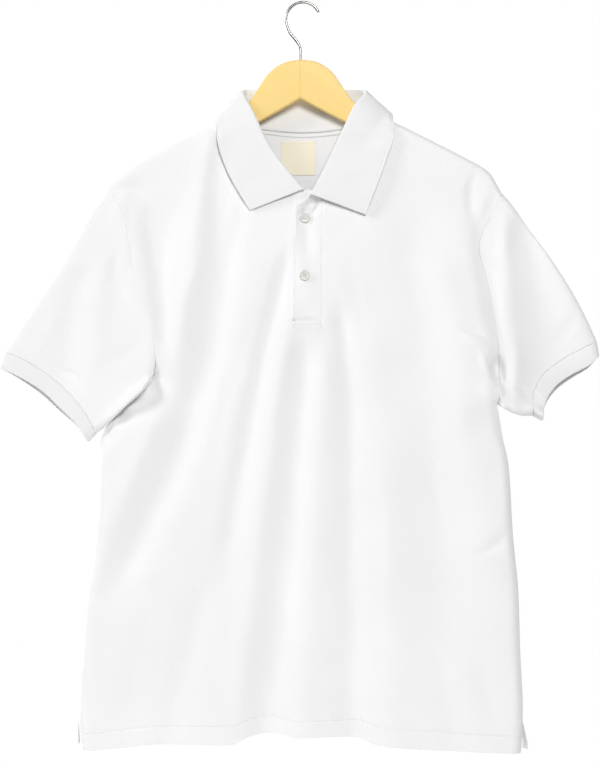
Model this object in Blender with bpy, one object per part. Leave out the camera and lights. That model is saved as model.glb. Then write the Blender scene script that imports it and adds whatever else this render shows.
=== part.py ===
"""A white polo shirt hanging on a flat wooden hanger, cut and sewn piece by piece.

Sizes are in millimetres and are turned to metres where a mesh is written. X runs to the right
as seen from the front, the front faces -Y and Z points up. The origin is the inside of the
hook's crown, where a rail would carry it. A drop is a distance below that point, and a reach
is a distance from the middle plane Y = 0 towards the front or the back.
"""

import math

import bpy
import numpy as np

MM = 0.001

# Walls and gaps
CLOTH = 1.5
COLLAR_WALL = 2.0
STRIP_WALL = 1.2
SEAM_GAP = 0.3
FOLD_RADIUS = 1.8
NECK_UP = (0.0, 0.0, 50.0)
STAND_PARTS = (0.0, 0.35, 0.7)
FOLD_TURNS = (0, 60, 120, 180)
LEAF_PARTS = (0.3, 0.65, 1.0)
LEAF_ROOM = 1.8
STRIP_GAP = 0.4
TAPE_WALL = 1.0
SHARP_ANGLE = 45
RIM_LEAN = 0.31

# How the cloth turns at the shoulders and at the sides
SHOULDER_ROLL = 8.0
SIDE_ROLL = 13.0
ROLL_TURNS = (0.0, 25.0, 55.0, 90.0)
ROLL_POWER = 2.6
SHOULDER_TO_HEM = 630.0
NECK_SLOPE = 0.5
ARM_FOOT_TURN = 16.0
SEAM_TURN = 2.5
# Columns are straight between these, and outside them they follow the sides
STRAIGHT_FROM = -25.0
STRAIGHT_TO = 40.0
HEM_WIDENING = 1.13
# Directions of the wall at the two ends of each armhole, and the way each sleeve leaves it
ARM_TOP_WAY = dict(left=(-0.76, 0.0, 0.65), right=(0.8, 0.0, 0.6))
ARM_FOOT_WAY = dict(left=(-0.55, 0.0, -0.83), right=(0.6, 0.0, -0.8))

# Where rows and columns of the panels lie, as shares of their lengths
FRONT_STEP = 15.0
BACK_STEP = 23.0
FRONT_NECK_SHARES = [0, 0.004, 0.016, 0.045, 0.1, 0.16, 0.225, 0.29, 0.355]
BACK_NECK_SHARES = [0, 0.01, 0.03, 0.07, 0.14, 0.26, 0.38, 0.5, 0.62, 0.74, 0.86, 0.93, 0.97, 0.99, 1]
FRONT_UPPER_ROWS = [0.035, 0.065, 0.1, 0.135, 0.17, 0.2, 0.232, 0.29, 0.315, 0.328, 0.358, 0.371, 0.4]
FRONT_LOWER_ROWS = [0.425, 0.455, 0.5, 0.55, 0.6, 0.65, 0.7, 0.75, 0.8, 0.86, 0.905, 0.93, 0.955, 1.0]
BACK_UPPER_ROWS = [0.045, 0.09, 0.14, 0.19, 0.24, 0.29, 0.315, 0.328, 0.358, 0.371, 0.4]
BACK_LOWER_ROWS = [0.425, 0.48, 0.56, 0.65, 0.74, 0.83, 0.905, 0.93, 0.96, 1.0]

# Placket, in the front view
PLACKET_LEFT = -11.0
PLACKET_RIGHT = 21.0
PLACKET_END_DROP = 374.0
PLACKET_LAP = 1.5
PLACKET_COLUMNS = (
    PLACKET_LEFT - PLACKET_LAP, PLACKET_LEFT, (PLACKET_LEFT + PLACKET_RIGHT) / 2,
    PLACKET_RIGHT, PLACKET_RIGHT + PLACKET_LAP,
)
BUTTON_X = 2.0
BUTTON_DROPS = (245.0, 311.0)
BUTTON_DIAMETER = 11.5
BUTTON_THICKNESS = 2.6
BUTTON_SIDES = 20
BUTTON_DISH = 0.58
# Rings of a button's section, from its dish over its rim to its back
BUTTON_PROFILE = np.array(
    [(0.55, 0.58), (0.72, 0.92), (0.86, 1.0), (1.0, 0.6), (0.9, 0.0)],
    dtype=[("out", float), ("height", float)],
)
# The upper strip's left corner is turned away under the collar
CORNER_DROP = 238.0
CORNER_TALL = 20.0
CORNER_WIDE = 19.0
STRIP_FIRST_ROW = 3

# Neck tape and label, inside the back
TAPE_HALF = 56.0
TAPE_ROWS = (0.6, 3.5, 6.5)
TAPE_COLUMNS = 13
LABEL_LEFT = -25.0
LABEL_DROP = 156.0
LABEL_SIZE = 39.0
LABEL_POINTS = 5

# Hanger board and hook
BOARD_THICKNESS = 12.0
BOARD_EDGE_ROUND = 2.2
BOARD_TILT = 1.2
STEM_X = -3.0
CROWN_DROP = 64.6
WIRE = 3.0
HOOK_RADIUS = 19.5
HOOK_TIP_TURN = 62.0
HOOK_BACK_TURN = 100.0
HOOK_POINTS = 19
STEM_BORE_DEPTH = 16.0
STEM_END_GAP = 1.0
BORE_SIDES = 16
BORE_RISE = 6.0

# Columns of the tables that hold a line in the front view
VIEW = [("x", float), ("drop", float)]

# Shoulder lines, from the armhole to the neck
SHOULDER_LEFT = np.array(
    [(-222, 209), (-203, 192), (-177, 176), (-148, 160), (-114, 144), (-81, 127)],
    dtype=VIEW,
)
SHOULDER_RIGHT = np.array(
    [(81, 125), (121, 144), (153, 160), (184, 176), (211, 192), (226, 216)],
    dtype=VIEW,
)
# Neck edges, from the left shoulder round to the right one
NECK_FRONT = np.array(
    [
        (-81, 127), (-75, 133), (-66, 146), (-54, 166), (-40, 186), (-22, 204), (-11, 211),
        (21, 211), (32, 203), (48, 186), (62, 165), (71, 146), (76, 132), (81, 125),
    ],
    dtype=VIEW,
)
NECK_BACK = np.array(
    [(-81, 127), (-66, 137), (-47, 143), (0, 147), (45, 143), (65, 135), (81, 125)],
    dtype=VIEW,
)
# Outer edges of front and back: the armhole, then the side seam
ARMHOLE_LEFT = np.array(
    [
        (209, -222), (225, -212), (244, -203), (270, -198), (290, -196), (309, -192),
        (334, -185), (352, -176), (391, -168), (409, -167), (425, -170),
    ],
    dtype=[("drop", float), ("x", float)],
)
SIDE_LEFT = np.array(
    [
        (425, -170), (441, -182), (457, -199), (473, -215.5), (485, -226), (507, -231),
        (575, -234), (639, -240), (671, -246),
        (735, -251), (767, -254), (808, -255), (844, -253),
    ],
    dtype=[("drop", float), ("x", float)],
)
ARMHOLE_RIGHT = np.array(
    [
        (216, 226), (230, 220), (246, 212), (261, 204), (282, 200), (300, 205),
        (334, 213), (386, 221), (416, 223), (438, 223), (457, 221),
    ],
    dtype=[("drop", float), ("x", float)],
)
SIDE_RIGHT = np.array(
    [
        (457, 221), (479, 225), (498, 228), (527, 234), (607, 239), (671, 245),
        (735, 247), (800, 250), (851, 248),
    ],
    dtype=[("drop", float), ("x", float)],
)
# Lower edges
HEM_FRONT = np.array(
    [
        (-253, 844), (-239, 847), (-150, 840), (-88, 841), (-62, 831), (-41, 828),
        (-6, 833), (30, 832), (63, 832), (95, 842), (138, 846), (248, 851),
    ],
    dtype=VIEW,
)
HEM_BACK = np.array(
    [(-253, 844), (-150, 838), (-88, 838), (-41, 826), (30, 829), (95, 838), (248, 851)],
    dtype=VIEW,
)
VENT_DROP = 802.0
VENT_TAIL = dict(left=-3.5, right=9.0)
VENT_SPREAD = 0.07
VENT_EASE = 16.0
VENT_ROWS = 4

# How far the cloth stands from the middle plane, before its folds
REACH = np.array(
    [
        (95, 8.6, 8.8), (200, 9.4, 9.2), (260, 13, 10.5), (330, 18, 13), (420, 22, 15),
        (540, 24, 17), (700, 25, 18), (860, 24, 17),
    ],
    dtype=[("drop", float), ("front", float), ("back", float)],
)
LEAST_REACH = 8.4
REACH_EASE = 1.2

# Folds run along a curve through three points. Each has a half width at its top and its foot.
# Depth goes in, and a minus depth is a ridge.
FOLD_COLUMNS = [
    (name, float)
    for name in ("x0", "drop0", "x1", "drop1", "x2", "drop2", "wide_top", "wide_foot", "depth")
]
FRONT_FOLDS = np.array(
    [
        (-86, 150, -108, 395, -210, 666, 19, 22, 8.5),
        (-118, 215, -143, 395, -215, 593, 14, 17, -3.2),
        (-13, 270, -48, 424, -86, 633, 10, 15, 5.0),
        (-12, 330, -36, 480, -74, 800, 13, 16, -2.6),
        (3, 345, -8, 497, -48, 870, 12, 22, 6.5),
        (29, 372, 18, 508, 0, 870, 13, 18, -2.2),
        (41, 330, 54, 474, 56, 870, 10, 21, 4.6),
        (70, 360, 98, 542, 104, 870, 18, 22, -2.0),
        (124, 222, 143, 452, 162, 735, 24, 28, 3.0),
        (199, 200, 203, 282, 222, 396, 13, 13, 5.0),
        (-173, 215, -167, 294, -156, 378, 10, 10, 4.5),
        (49, 275, 60, 339, 72, 410, 9, 10, 1.0),
        (146, 271, 176, 384, 221, 700, 22, 26, -2.4),
        (-145, 218, -148, 237, -151, 258, 10, 10, 2.0),
        (-106, 640, -128, 735, -160, 870, 15, 18, 2.4),
        (148, 715, 162, 779, 176, 870, 17, 17, 1.8),
    ],
    dtype=FOLD_COLUMNS,
)
BACK_FOLDS = np.array(
    [
        (-120, 240, -140, 420, -190, 640, 18, 18, 5.0),
        (-60, 330, -78, 520, -100, 870, 17, 17, 4.5),
        (10, 300, 2, 520, -18, 870, 18, 18, 4.0),
        (70, 360, 82, 560, 96, 870, 16, 16, 5.0),
        (140, 250, 150, 440, 176, 800, 18, 18, 4.0),
    ],
    dtype=FOLD_COLUMNS,
)
FOLD_END = 42.0
# Hollows where the sleeve pulls the cloth in, at the foot of each armhole
PIT_COLUMNS = [(name, float) for name in ("x", "drop", "wide", "tall", "depth")]
FRONT_PITS = np.array(
    [(-172, 436, 26, 30, 14.0), (208, 408, 14, 26, 13.0), (205, 470, 22, 24, 8.0)],
    dtype=PIT_COLUMNS,
)
BACK_PITS = np.array(
    [(-178, 436, 24, 32, 7.0), (208, 420, 20, 32, 7.0)], dtype=PIT_COLUMNS
)

# Sleeve outlines in the front view: outer edge, under edge and cuff seam
SLEEVE_LEFT = dict(
    outer=np.array(
        [(-222, 209), (-241, 240), (-259, 272), (-278, 304), (-299, 336), (-319, 366), (-339, 397)],
        dtype=VIEW,
    ),
    under=np.array([(-170, 425), (-184, 439), (-200, 454), (-218, 471), (-235, 490)], dtype=VIEW),
    seam=np.array(
        [(-339, 397), (-317, 406), (-294, 420), (-276, 434), (-258, 452), (-244, 471), (-235, 490)],
        dtype=VIEW,
    ),
    edge=np.array(
        [(-346, 415), (-326, 424), (-299, 440), (-276, 461), (-256, 481), (-244, 500)], dtype=VIEW
    ),
)
SLEEVE_RIGHT = dict(
    outer=np.array(
        [(226, 216), (235, 226), (258, 258), (288, 299), (318, 349), (335, 385)], dtype=VIEW
    ),
    under=np.array([(221, 457), (236, 466), (252, 470), (261, 470)], dtype=VIEW),
    seam=np.array(
        [(335, 385), (314, 395), (290, 409), (270, 427), (261, 448), (261, 470)], dtype=VIEW
    ),
    edge=np.array(
        [(338, 402), (325, 413), (306, 423), (287, 437), (275, 456), (272, 476)], dtype=VIEW
    ),
)
SLEEVE_RINGS = (0.0, 0.06, 0.14, 0.26, 0.4, 0.55, 0.7, 0.85, 1.0)
SLEEVE_EDGE_ROLL = 14.0
SLEEVE_REACH = dict(front=17.0, back=13.0)
CUFF_REACH = dict(front=14.0, back=11.0)
SLEEVE_EASE = 0.2
SLEEVE_TAPER_FROM = 0.4
CUFF_EDGE_TURN = 8.0
CUFF_FLARE = 0.5
CUFF_PARTS = (0.0, 0.5, 1.0)

# Collar sections: where the fold and the leaf's edge lie. Stations run from 0 at the left front
# end, by 1 at the left shoulder, 2 at the middle of the back and 3 at the right shoulder, to 4.
COLLAR = np.array(
    [
        (0.00, 2, -13, 214, -60, -16, 237),
        (0.33, -16, -13, 194, -72, -15, 218),
        (0.66, -39, -12, 162, -88, -15, 187),
        (0.88, -56, -10, 126, -97, -14, 158),
        (1.00, -67, -3, 103, -99, 0, 129),
        (1.20, -65, 9, 98, -93, 12, 139),
        (1.50, -40, 16, 97, -62, 19, 154),
        (2.00, 0, 18, 97, 0, 20, 158),
        (2.50, 42, 16, 97, 62, 19, 153),
        (2.80, 68, 9, 98, 95, 12, 137),
        (3.00, 70, -3, 102, 102, 0, 127),
        (3.12, 58, -10, 118, 103, -14, 150),
        (3.34, 45, -12, 146, 96, -15, 175),
        (3.67, 25, -13, 188, 85, -17, 206),
        (4.00, 8, -15, 217, 71, -21, 242),
    ],
    dtype=[
        ("station", float),
        ("fold_x", float), ("fold_y", float), ("fold_drop", float),
        ("edge_x", float), ("edge_y", float), ("edge_drop", float),
    ],
)
# The way the fold faces round the neck, in degrees from the front by way of the left
COLLAR_FACING = np.array(
    [(0, 0), (0.6, 8), (1, 80), (1.5, 160), (2, 180), (2.5, 200), (3, 280), (3.4, 352), (4, 360)],
    dtype=[("station", float), ("turn", float)],
)

# Half of the board's outline, out from the stem and down from the crown
BOARD_TOP = np.array(
    [
        (0, 0), (14, 1.8), (27, 7.5), (37, 16), (50, 35), (60, 49), (77.5, 66.5),
        (110.6, 82.6), (144.8, 98.4), (173.3, 113.8), (196, 129),
    ],
    dtype=[("out", float), ("drop", float)],
)
BOARD_UNDER = np.array(
    [(0, 44.2), (48.8, 71), (77.5, 87), (110.6, 103), (144.8, 118.5), (173.3, 132), (196, 145)],
    dtype=[("out", float), ("drop", float)],
)

# Where the outline is sampled: out from the stem, and in degrees round the tips
BOARD_TOP_AT = (0, 7, 14, 21, 28, 34, 40, 46, 53, 61, 70, 82, 100, 125, 150, 175, 196)
BOARD_UNDER_AT = (0, 25, 48.8, 77.5, 110, 145, 173, 196)
BOARD_TIP_TURNS = (-60, -30, 0, 30, 60)
# The wire from the crown's arc down to the stem
HOOK_BEND = np.array(
    [(-16, 31.5), (-11.5, 37.7), (-7, 43.2), (-4.3, 47.6), (STEM_X, 52.5), (STEM_X, 58)],
    dtype=VIEW,
)

# Colours in linear RGB
FINISHES = dict(
    cloth=((0.90, 0.90, 0.91), 0.85, 0.0),
    rib=((0.90, 0.90, 0.91), 0.85, 0.0),
    tape=((0.88, 0.88, 0.88), 0.8, 0.0),
    label=((0.78, 0.72, 0.58), 0.75, 0.0),
    button=((0.80, 0.79, 0.76), 0.3, 0.0),
    wood=((0.93, 0.72, 0.33), 0.45, 0.0),
    chrome=((0.80, 0.80, 0.81), 0.1, 1.0),
)


def smooth_curve(knots, values, at):
    """Values at the places asked for, on a smooth curve through the knots that never overshoots."""
    knots = np.asarray(knots, float)
    values = np.asarray(values, float)
    at = np.clip(np.asarray(at, float), knots[0], knots[-1])
    step = np.diff(knots)
    rise = np.diff(values) / step
    slope = np.concatenate([rise[:1], np.zeros(len(rise) - 1), rise[-1:]])
    same_way = rise[1:] * rise[:-1] > 0
    mean = 2 * rise[1:] * rise[:-1] / np.where(same_way, rise[1:] + rise[:-1], 1.0)
    slope[1:-1] = np.where(same_way, mean, 0.0)
    piece = np.clip(np.searchsorted(knots, at, side="right") - 1, 0, len(step) - 1)
    t = (at - knots[piece]) / step[piece]
    return (
        (1 + 2 * t) * (1 - t) ** 2 * values[piece]
        + t * (1 - t) ** 2 * step[piece] * slope[piece]
        + t * t * (3 - 2 * t) * values[piece + 1]
        + t * t * (t - 1) * step[piece] * slope[piece + 1]
    )


def length_share(points):
    """Share of a line's length passed at each of its points."""
    steps = np.concatenate([[0], np.cumsum(np.linalg.norm(np.diff(points, axis=0), axis=1))])
    return steps / steps[-1]


def along(line, share):
    """Points at shares of the length of a smooth line through the points of a table."""
    passed = length_share(np.stack([line["x"], line["drop"]], axis=1))
    return np.stack([smooth_curve(passed, line[part], share) for part in ("x", "drop")], axis=-1)


def unit(vectors):
    return vectors / np.linalg.norm(vectors, axis=-1, keepdims=True)


def soft_step(value):
    value = np.clip(value, 0.0, 1.0)
    return value * value * (3 - 2 * value)


def roll(share):
    """How far a turned edge has come forward, 0 to 1, at a share of the roll's width."""
    share = np.clip(share, 0.0, 1.0)
    return (1 - (1 - share) ** ROLL_POWER) ** (1 / ROLL_POWER)


def roll_shares():
    """Shares of a roll's width at which it is sampled, close together at the edge."""
    return [1 - math.cos(math.radians(turn)) ** (2 / ROLL_POWER) for turn in ROLL_TURNS]


def shoulder_line(x):
    """Drop of the shoulders at each x. Between them the two lines go on towards the middle."""
    left = smooth_curve(SHOULDER_LEFT["x"], SHOULDER_LEFT["drop"], x)
    right = smooth_curve(SHOULDER_RIGHT["x"], SHOULDER_RIGHT["drop"], x)
    inside = np.maximum(x - SHOULDER_LEFT["x"][-1], 0) * NECK_SLOPE
    inside_right = np.maximum(SHOULDER_RIGHT["x"][0] - x, 0) * NECK_SLOPE
    return np.where(x < 0, left - inside, right - inside_right)


def fold_depth(folds, x, drop):
    """Sum of the folds' depths: each is a soft trough across a curve through three points."""
    total = np.zeros_like(x)
    for fold in folds:
        knots = [fold["drop0"], fold["drop1"], fold["drop2"]]
        middle = smooth_curve(knots, [fold["x0"], fold["x1"], fold["x2"]], drop)
        start = soft_step((drop - knots[0]) / FOLD_END)
        end = soft_step((knots[2] + FOLD_END - drop) / (2 * FOLD_END))
        width = np.interp(drop, [knots[0], knots[2]], [fold["wide_top"], fold["wide_foot"]])
        total += fold["depth"] * start * end * np.exp(-(((x - middle) / width) ** 2))
    return total


def pit_depth(pits, x, drop):
    """Sum of the rounded hollows beside the armholes."""
    total = np.zeros_like(x)
    for pit in pits:
        away = ((x - pit["x"]) / pit["wide"]) ** 2 + ((drop - pit["drop"]) / pit["tall"]) ** 2
        total += pit["depth"] * np.exp(-away)
    return total


def reach(side, x, drop):
    """How far the front or the back stands from the middle plane, away from its edges."""
    x = np.asarray(x, float)
    drop = np.asarray(drop, float)
    folds = FRONT_FOLDS if side == "front" else BACK_FOLDS
    pits = FRONT_PITS if side == "front" else BACK_PITS
    flat = smooth_curve(REACH["drop"], REACH[side], drop)
    deep = flat - fold_depth(folds, x, drop) - pit_depth(pits, x, drop)
    return LEAST_REACH + REACH_EASE * np.logaddexp(0.0, (deep - LEAST_REACH) / REACH_EASE)


def normals_of(grid, closed=False):
    """Unit normals of a grid of points, from the differences between neighbours."""
    down = np.gradient(grid, axis=0)
    if closed:
        across = (np.roll(grid, -1, axis=1) - np.roll(grid, 1, axis=1)) / 2
    else:
        across = np.gradient(grid, axis=1)
    return unit(np.cross(across, down))


def wall_mesh(outer, inner, closed=False, kept=None):
    """Vertices and faces of the wall between two grids, with its rims. kept marks the cells used.

    Cells are split along the folds. A rim is split from its lower outer corner, so that two
    pieces are split alike at their seam.
    """
    rows, columns = outer.shape[:2]
    cells = columns if closed else columns - 1
    if kept is None:
        kept = np.ones((rows - 1, cells), bool)
    layer = rows * columns
    depth = outer[..., 1]
    beside = np.roll(depth, -1, axis=1)
    falling = abs(depth[:-1] - beside[1:]) > abs(beside[:-1] - depth[1:])
    faces = []
    edges = {}
    for i, j in np.argwhere(kept).tolist():
        k = (j + 1) % columns
        a, b = i * columns + j, i * columns + k
        c, d = (i + 1) * columns + k, (i + 1) * columns + j
        halves = [(a, b, d), (b, c, d)] if falling[i, j] else [(a, b, c), (a, c, d)]
        faces += halves + [(p + layer, r + layer, q + layer) for p, q, r in halves]
        for start, end in ((a, b), (b, c), (c, d), (d, a)):
            if (end, start) in edges:
                del edges[(end, start)]
            else:
                edges[(start, end)] = True
    points = np.concatenate([outer.reshape(-1, 3), inner.reshape(-1, 3)])
    order = points[:, 2] + RIM_LEAN * points[:, 0]
    for start, end in edges:
        if order[start] < order[end]:
            faces += [(end, start, end + layer), (start, start + layer, end + layer)]
        else:
            faces += [(end, start, start + layer), (end, start + layer, end + layer)]
    used = sorted({vertex for face in faces for vertex in face})
    place = {vertex: index for index, vertex in enumerate(used)}
    return points[used], [tuple(place[vertex] for vertex in face) for face in faces]


def add_object(name, finish, points, faces):
    """A mesh object from points in millimetres, with its faces turned outwards."""
    mesh = bpy.data.meshes.new(name)
    mesh.from_pydata((np.asarray(points) * MM).tolist(), [], faces)
    if signed_volume(mesh) < 0:
        mesh.flip_normals()
    mesh.materials.append(material_for(finish))
    mesh.shade_smooth()
    mesh.set_sharp_from_angle(angle=math.radians(SHARP_ANGLE))
    obj = bpy.data.objects.new(name, mesh)
    bpy.context.scene.collection.objects.link(obj)
    return obj


def signed_volume(mesh):
    """Six times the volume inside the mesh, with a minus sign where its faces point in."""
    mesh.calc_loop_triangles()
    corners = np.array([[mesh.vertices[v].co for v in t.vertices] for t in mesh.loop_triangles])
    return float(np.einsum("ij,ij->", corners[:, 0], np.cross(corners[:, 1], corners[:, 2])))


def material_for(finish):
    """The Principled material of one finish, made the first time it is asked for."""
    made = bpy.data.materials.get(finish)
    if made:
        return made
    colour, roughness, metallic = FINISHES[finish]
    made = bpy.data.materials.new(finish)
    made.use_nodes = True
    shader = made.node_tree.nodes["Principled BSDF"]
    shader.inputs["Base Color"].default_value = (*colour, 1.0)
    shader.inputs["Roughness"].default_value = roughness
    shader.inputs["Metallic"].default_value = metallic
    made.diffuse_color = (*colour, 1.0)
    return made


def outline(armhole, side, drop):
    """x of a panel's outer edge at each drop."""
    upper = smooth_curve(armhole["drop"], armhole["x"], drop)
    lower = smooth_curve(side["drop"], side["x"], drop)
    return np.where(drop <= armhole["drop"][-1], upper, lower)


def foot_share(armhole, side):
    """Share of the way from shoulder to hem at which an armhole ends."""
    top, foot, hem = armhole["drop"][0], armhole["drop"][-1], side["drop"][-1]
    return (foot - top) / (hem - top)


def panel_rows(middle, lower):
    """Row shares: the shoulder roll, the armhole, then the body and the hem."""
    first = [share * SHOULDER_ROLL / SHOULDER_TO_HEM for share in roll_shares()]
    feet = [foot_share(ARMHOLE_RIGHT, SIDE_RIGHT), foot_share(ARMHOLE_LEFT, SIDE_LEFT)]
    return np.array(sorted(first + list(middle) + feet + list(lower)))


def panel_columns(neck, shoulder_step, neck_shares):
    """Where a panel's columns start on its upper edge, and which of them bound the neck."""
    turns = np.array(roll_shares()) * SIDE_ROLL
    left, right = SHOULDER_LEFT["x"], SHOULDER_RIGHT["x"]
    neck_points = along(neck, neck_shares)
    count = round((left[-1] - left[0] - SIDE_ROLL) / shoulder_step)
    inner_left = np.linspace(left[0] + SIDE_ROLL, left[-1], count + 1)[1:-1]
    inner_right = np.linspace(right[0], right[-1] - SIDE_ROLL, count + 1)[1:-1]
    from_left = np.concatenate([left[0] + turns, inner_left])
    from_right = np.concatenate([inner_right, (right[-1] - turns)[::-1]])
    x = np.concatenate([from_left, neck_points[:, 0], from_right])
    drop = np.concatenate([shoulder_line(from_left), neck_points[:, 1], shoulder_line(from_right)])
    return x, drop, len(from_left), len(from_left) + len(neck_shares) - 1


class Panel:
    """The front or the back: a grid of rows from the shoulders and neck down to the hem."""

    def __init__(self, side, neck, hem, shoulder_step, neck_shares, rows):
        self.side = side
        self.sign = -1.0 if side == "front" else 1.0
        columns = panel_columns(neck, shoulder_step, neck_shares)
        start_x, start_drop, self.neck_first, self.neck_last = columns
        self.rows = rows
        self.foot = {
            "left": int(np.argmin(abs(rows - foot_share(ARMHOLE_LEFT, SIDE_LEFT)))),
            "right": int(np.argmin(abs(rows - foot_share(ARMHOLE_RIGHT, SIDE_RIGHT)))),
        }
        self.lay_out(start_x, start_drop, hem)
        self.set_walls()

    def lay_out(self, start_x, start_drop, hem):
        """Front-view places: columns fall straight near the middle and follow the edges outside."""
        left, right = start_x[0], start_x[-1]
        hem_drop = smooth_curve(hem["x"], hem["drop"], start_x * HEM_WIDENING)
        share = self.rows[:, None]
        self.drop = start_drop * (1 - share) + hem_drop * share
        for row, turn in enumerate(roll_shares()):
            self.drop[row] = start_drop + turn * SHOULDER_ROLL
        edge_left = outline(ARMHOLE_LEFT, SIDE_LEFT, self.drop[:, 0])
        edge_right = outline(ARMHOLE_RIGHT, SIDE_RIGHT, self.drop[:, -1])
        if self.side == "back":
            top = self.rows[-VENT_ROWS]
            tail = soft_step((self.rows - top) / (1 - top))
            edge_left = edge_left + tail * VENT_TAIL["left"]
            edge_right = edge_right + tail * VENT_TAIL["right"]
        pull_left = soft_step((STRAIGHT_FROM - start_x) / (STRAIGHT_FROM - left - SIDE_ROLL))
        pull_right = soft_step((start_x - STRAIGHT_TO) / (right - SIDE_ROLL - STRAIGHT_TO))
        self.x = (
            start_x
            + pull_left * (edge_left - left)[:, None]
            + pull_right * (edge_right - right)[:, None]
        )

    def set_walls(self):
        """Outer and inner faces, turned to the middle plane at the shoulder and side seams."""
        open_left = self.openness(self.foot["left"], self.drop[:, 0])
        open_right = self.openness(self.foot["right"], self.drop[:, -1])
        below = self.drop - shoulder_line(self.x[0])
        factor = roll(below / SHOULDER_ROLL)
        for column, share in enumerate(roll_shares()):
            turn = float(roll(share))
            factor[:, column] *= turn + (1 - turn) * open_left
            factor[:, -1 - column] *= turn + (1 - turn) * open_right
        reached = reach(self.side, self.x, self.drop) * factor
        y = self.sign * np.maximum(reached, SEAM_GAP / 2)
        self.outer = np.stack([self.x, y, -self.drop], axis=-1)
        normal = normals_of(self.outer)
        if normal[len(self.rows) // 2, self.neck_first, 1] * self.sign < 0:
            normal = -normal
        normal[0, :, 1] = 0.0
        neck = slice(self.neck_first, self.neck_last + 1)
        up = [(math.copysign(NECK_SLOPE, x), 0.0, 1.0) for x in self.x[0, neck]]
        normal[0, neck] = self.arch_way(up, below[0, neck] / SHOULDER_ROLL)
        normal[:, 0, 1] *= soft_step(open_left * SEAM_TURN)
        normal[:, -1, 1] *= soft_step(open_right * SEAM_TURN)
        for end, column in (("left", 0), ("right", -1)):
            drop = self.drop[: self.foot[end] + 1, column]
            top = self.arch_way(ARM_TOP_WAY[end], (drop - drop[0]) / SHOULDER_ROLL)
            foot = self.arch_way(ARM_FOOT_WAY[end], (drop[-1] - drop) / ARM_FOOT_TURN)
            near_top = (drop - drop[0] < SHOULDER_ROLL)[:, None]
            normal[: len(drop), column] = np.where(near_top, top, foot)
        self.set_inner(unit(normal))

    def set_inner(self, normal):
        self.normal = normal
        self.inner = self.outer - normal * CLOTH

    def arch_way(self, edge_way, share):
        """Wall directions that turn from an edge's own way to straight out, round a roll."""
        share = np.clip(share, 0, 1)[:, None]
        out = np.array([0.0, self.sign, 0.0])
        power = ROLL_POWER - 1
        return np.asarray(edge_way) * (1 - share) ** power + out * roll(share) ** power

    def openness(self, foot, drop):
        """0 where the side turns in to its seam, 1 along the armhole, a little along the vent."""
        arm = roll((drop[foot] - drop) / ARM_FOOT_TURN)
        vent = VENT_SPREAD * soft_step((drop - VENT_DROP) / VENT_EASE)
        return np.maximum(arm, vent)

    def armhole(self, end):
        """Outer points and wall directions from the shoulder to the foot of one armhole."""
        rows, column = self.foot[end] + 1, 0 if end == "left" else -1
        return self.outer[:rows, column].copy(), self.normal[:rows, column].copy()

    def neck(self, first, last):
        """Outer points and wall directions along part of the neck edge."""
        return self.outer[0, first : last + 1].copy(), self.normal[0, first : last + 1].copy()

    def depth(self, face, x, drop):
        """y of the outer or inner face at places in the front view, read between its points."""
        grid = self.outer if face == "outer" else self.inner
        x, drop = np.broadcast_arrays(np.asarray(x, float), np.asarray(drop, float))
        result = np.empty(x.shape)
        for place in np.ndindex(x.shape):
            across = [np.interp(x[place], row[:, 0], row[:, 1]) for row in grid]
            height = [np.interp(x[place], row[:, 0], -row[:, 2]) for row in grid]
            result[place] = np.interp(drop[place], height, across)
        return result


def clear_scene():
    for obj in list(bpy.data.objects):
        bpy.data.objects.remove(obj, do_unlink=True)


def slit_shares():
    """Shares of the front neck edge at the sides of the placket and of the slit behind it."""
    share = np.linspace(0, 1, 2001)
    x = along(NECK_FRONT, share)[:, 0]
    return [float(share[np.argmin(abs(x - place))]) for place in PLACKET_COLUMNS]


def add_panels():
    """Front and back. The front is slit from the neck down to the end of the placket."""
    neck_drop = NECK_FRONT["drop"].max()
    hem_drop = smooth_curve(HEM_FRONT["x"], HEM_FRONT["drop"], PLACKET_LEFT * HEM_WIDENING)
    slit_end = float((PLACKET_END_DROP - neck_drop) / (hem_drop - neck_drop))
    slit = slit_shares()
    neck_shares = FRONT_NECK_SHARES + slit + [1 - s for s in reversed(FRONT_NECK_SHARES)]
    rows = panel_rows(FRONT_UPPER_ROWS + [slit_end], FRONT_LOWER_ROWS)
    front = Panel("front", NECK_FRONT, HEM_FRONT, FRONT_STEP, neck_shares, rows)
    rows = panel_rows(BACK_UPPER_ROWS, BACK_LOWER_ROWS)
    back = Panel("back", NECK_BACK, HEM_BACK, BACK_STEP, BACK_NECK_SHARES, rows)
    front.slit_row = int(np.argmin(abs(front.rows - slit_end)))
    front.slit_first = front.neck_first + len(FRONT_NECK_SHARES) + 1
    front.slit_last = front.slit_first + len(slit) - 3
    normal = front.normal.copy()
    normal[: front.slit_row + 2, front.slit_first - 1 : front.slit_last + 2] = (0.0, -1.0, 0.0)
    front.set_inner(normal)
    kept = np.ones((len(front.rows) - 1, front.x.shape[1] - 1), bool)
    kept[: front.slit_row, front.slit_first : front.slit_last] = False
    add_object("front_panel", "cloth", *wall_mesh(front.outer, front.inner, kept=kept))
    add_object("back_panel", "cloth", *wall_mesh(back.outer, back.inner))
    return front, back


def seam_steps(ring, normal, towards, closed=True):
    """Steps over a seam's gap: across its line and its wall, longer where the line bends."""
    after = unit(np.roll(ring, -1, axis=0) - ring)
    before = np.roll(after, 1, axis=0)
    if not closed:
        before[0], after[-1] = after[0], before[-1]
    line = unit(after + before)
    length = SEAM_GAP / np.clip((line * after).sum(1, keepdims=True), 0.5, 1.0)
    way = unit(np.cross(line, normal))
    return way * length * np.where((way * towards).sum(1, keepdims=True) < 0, -1.0, 1.0)


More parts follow.
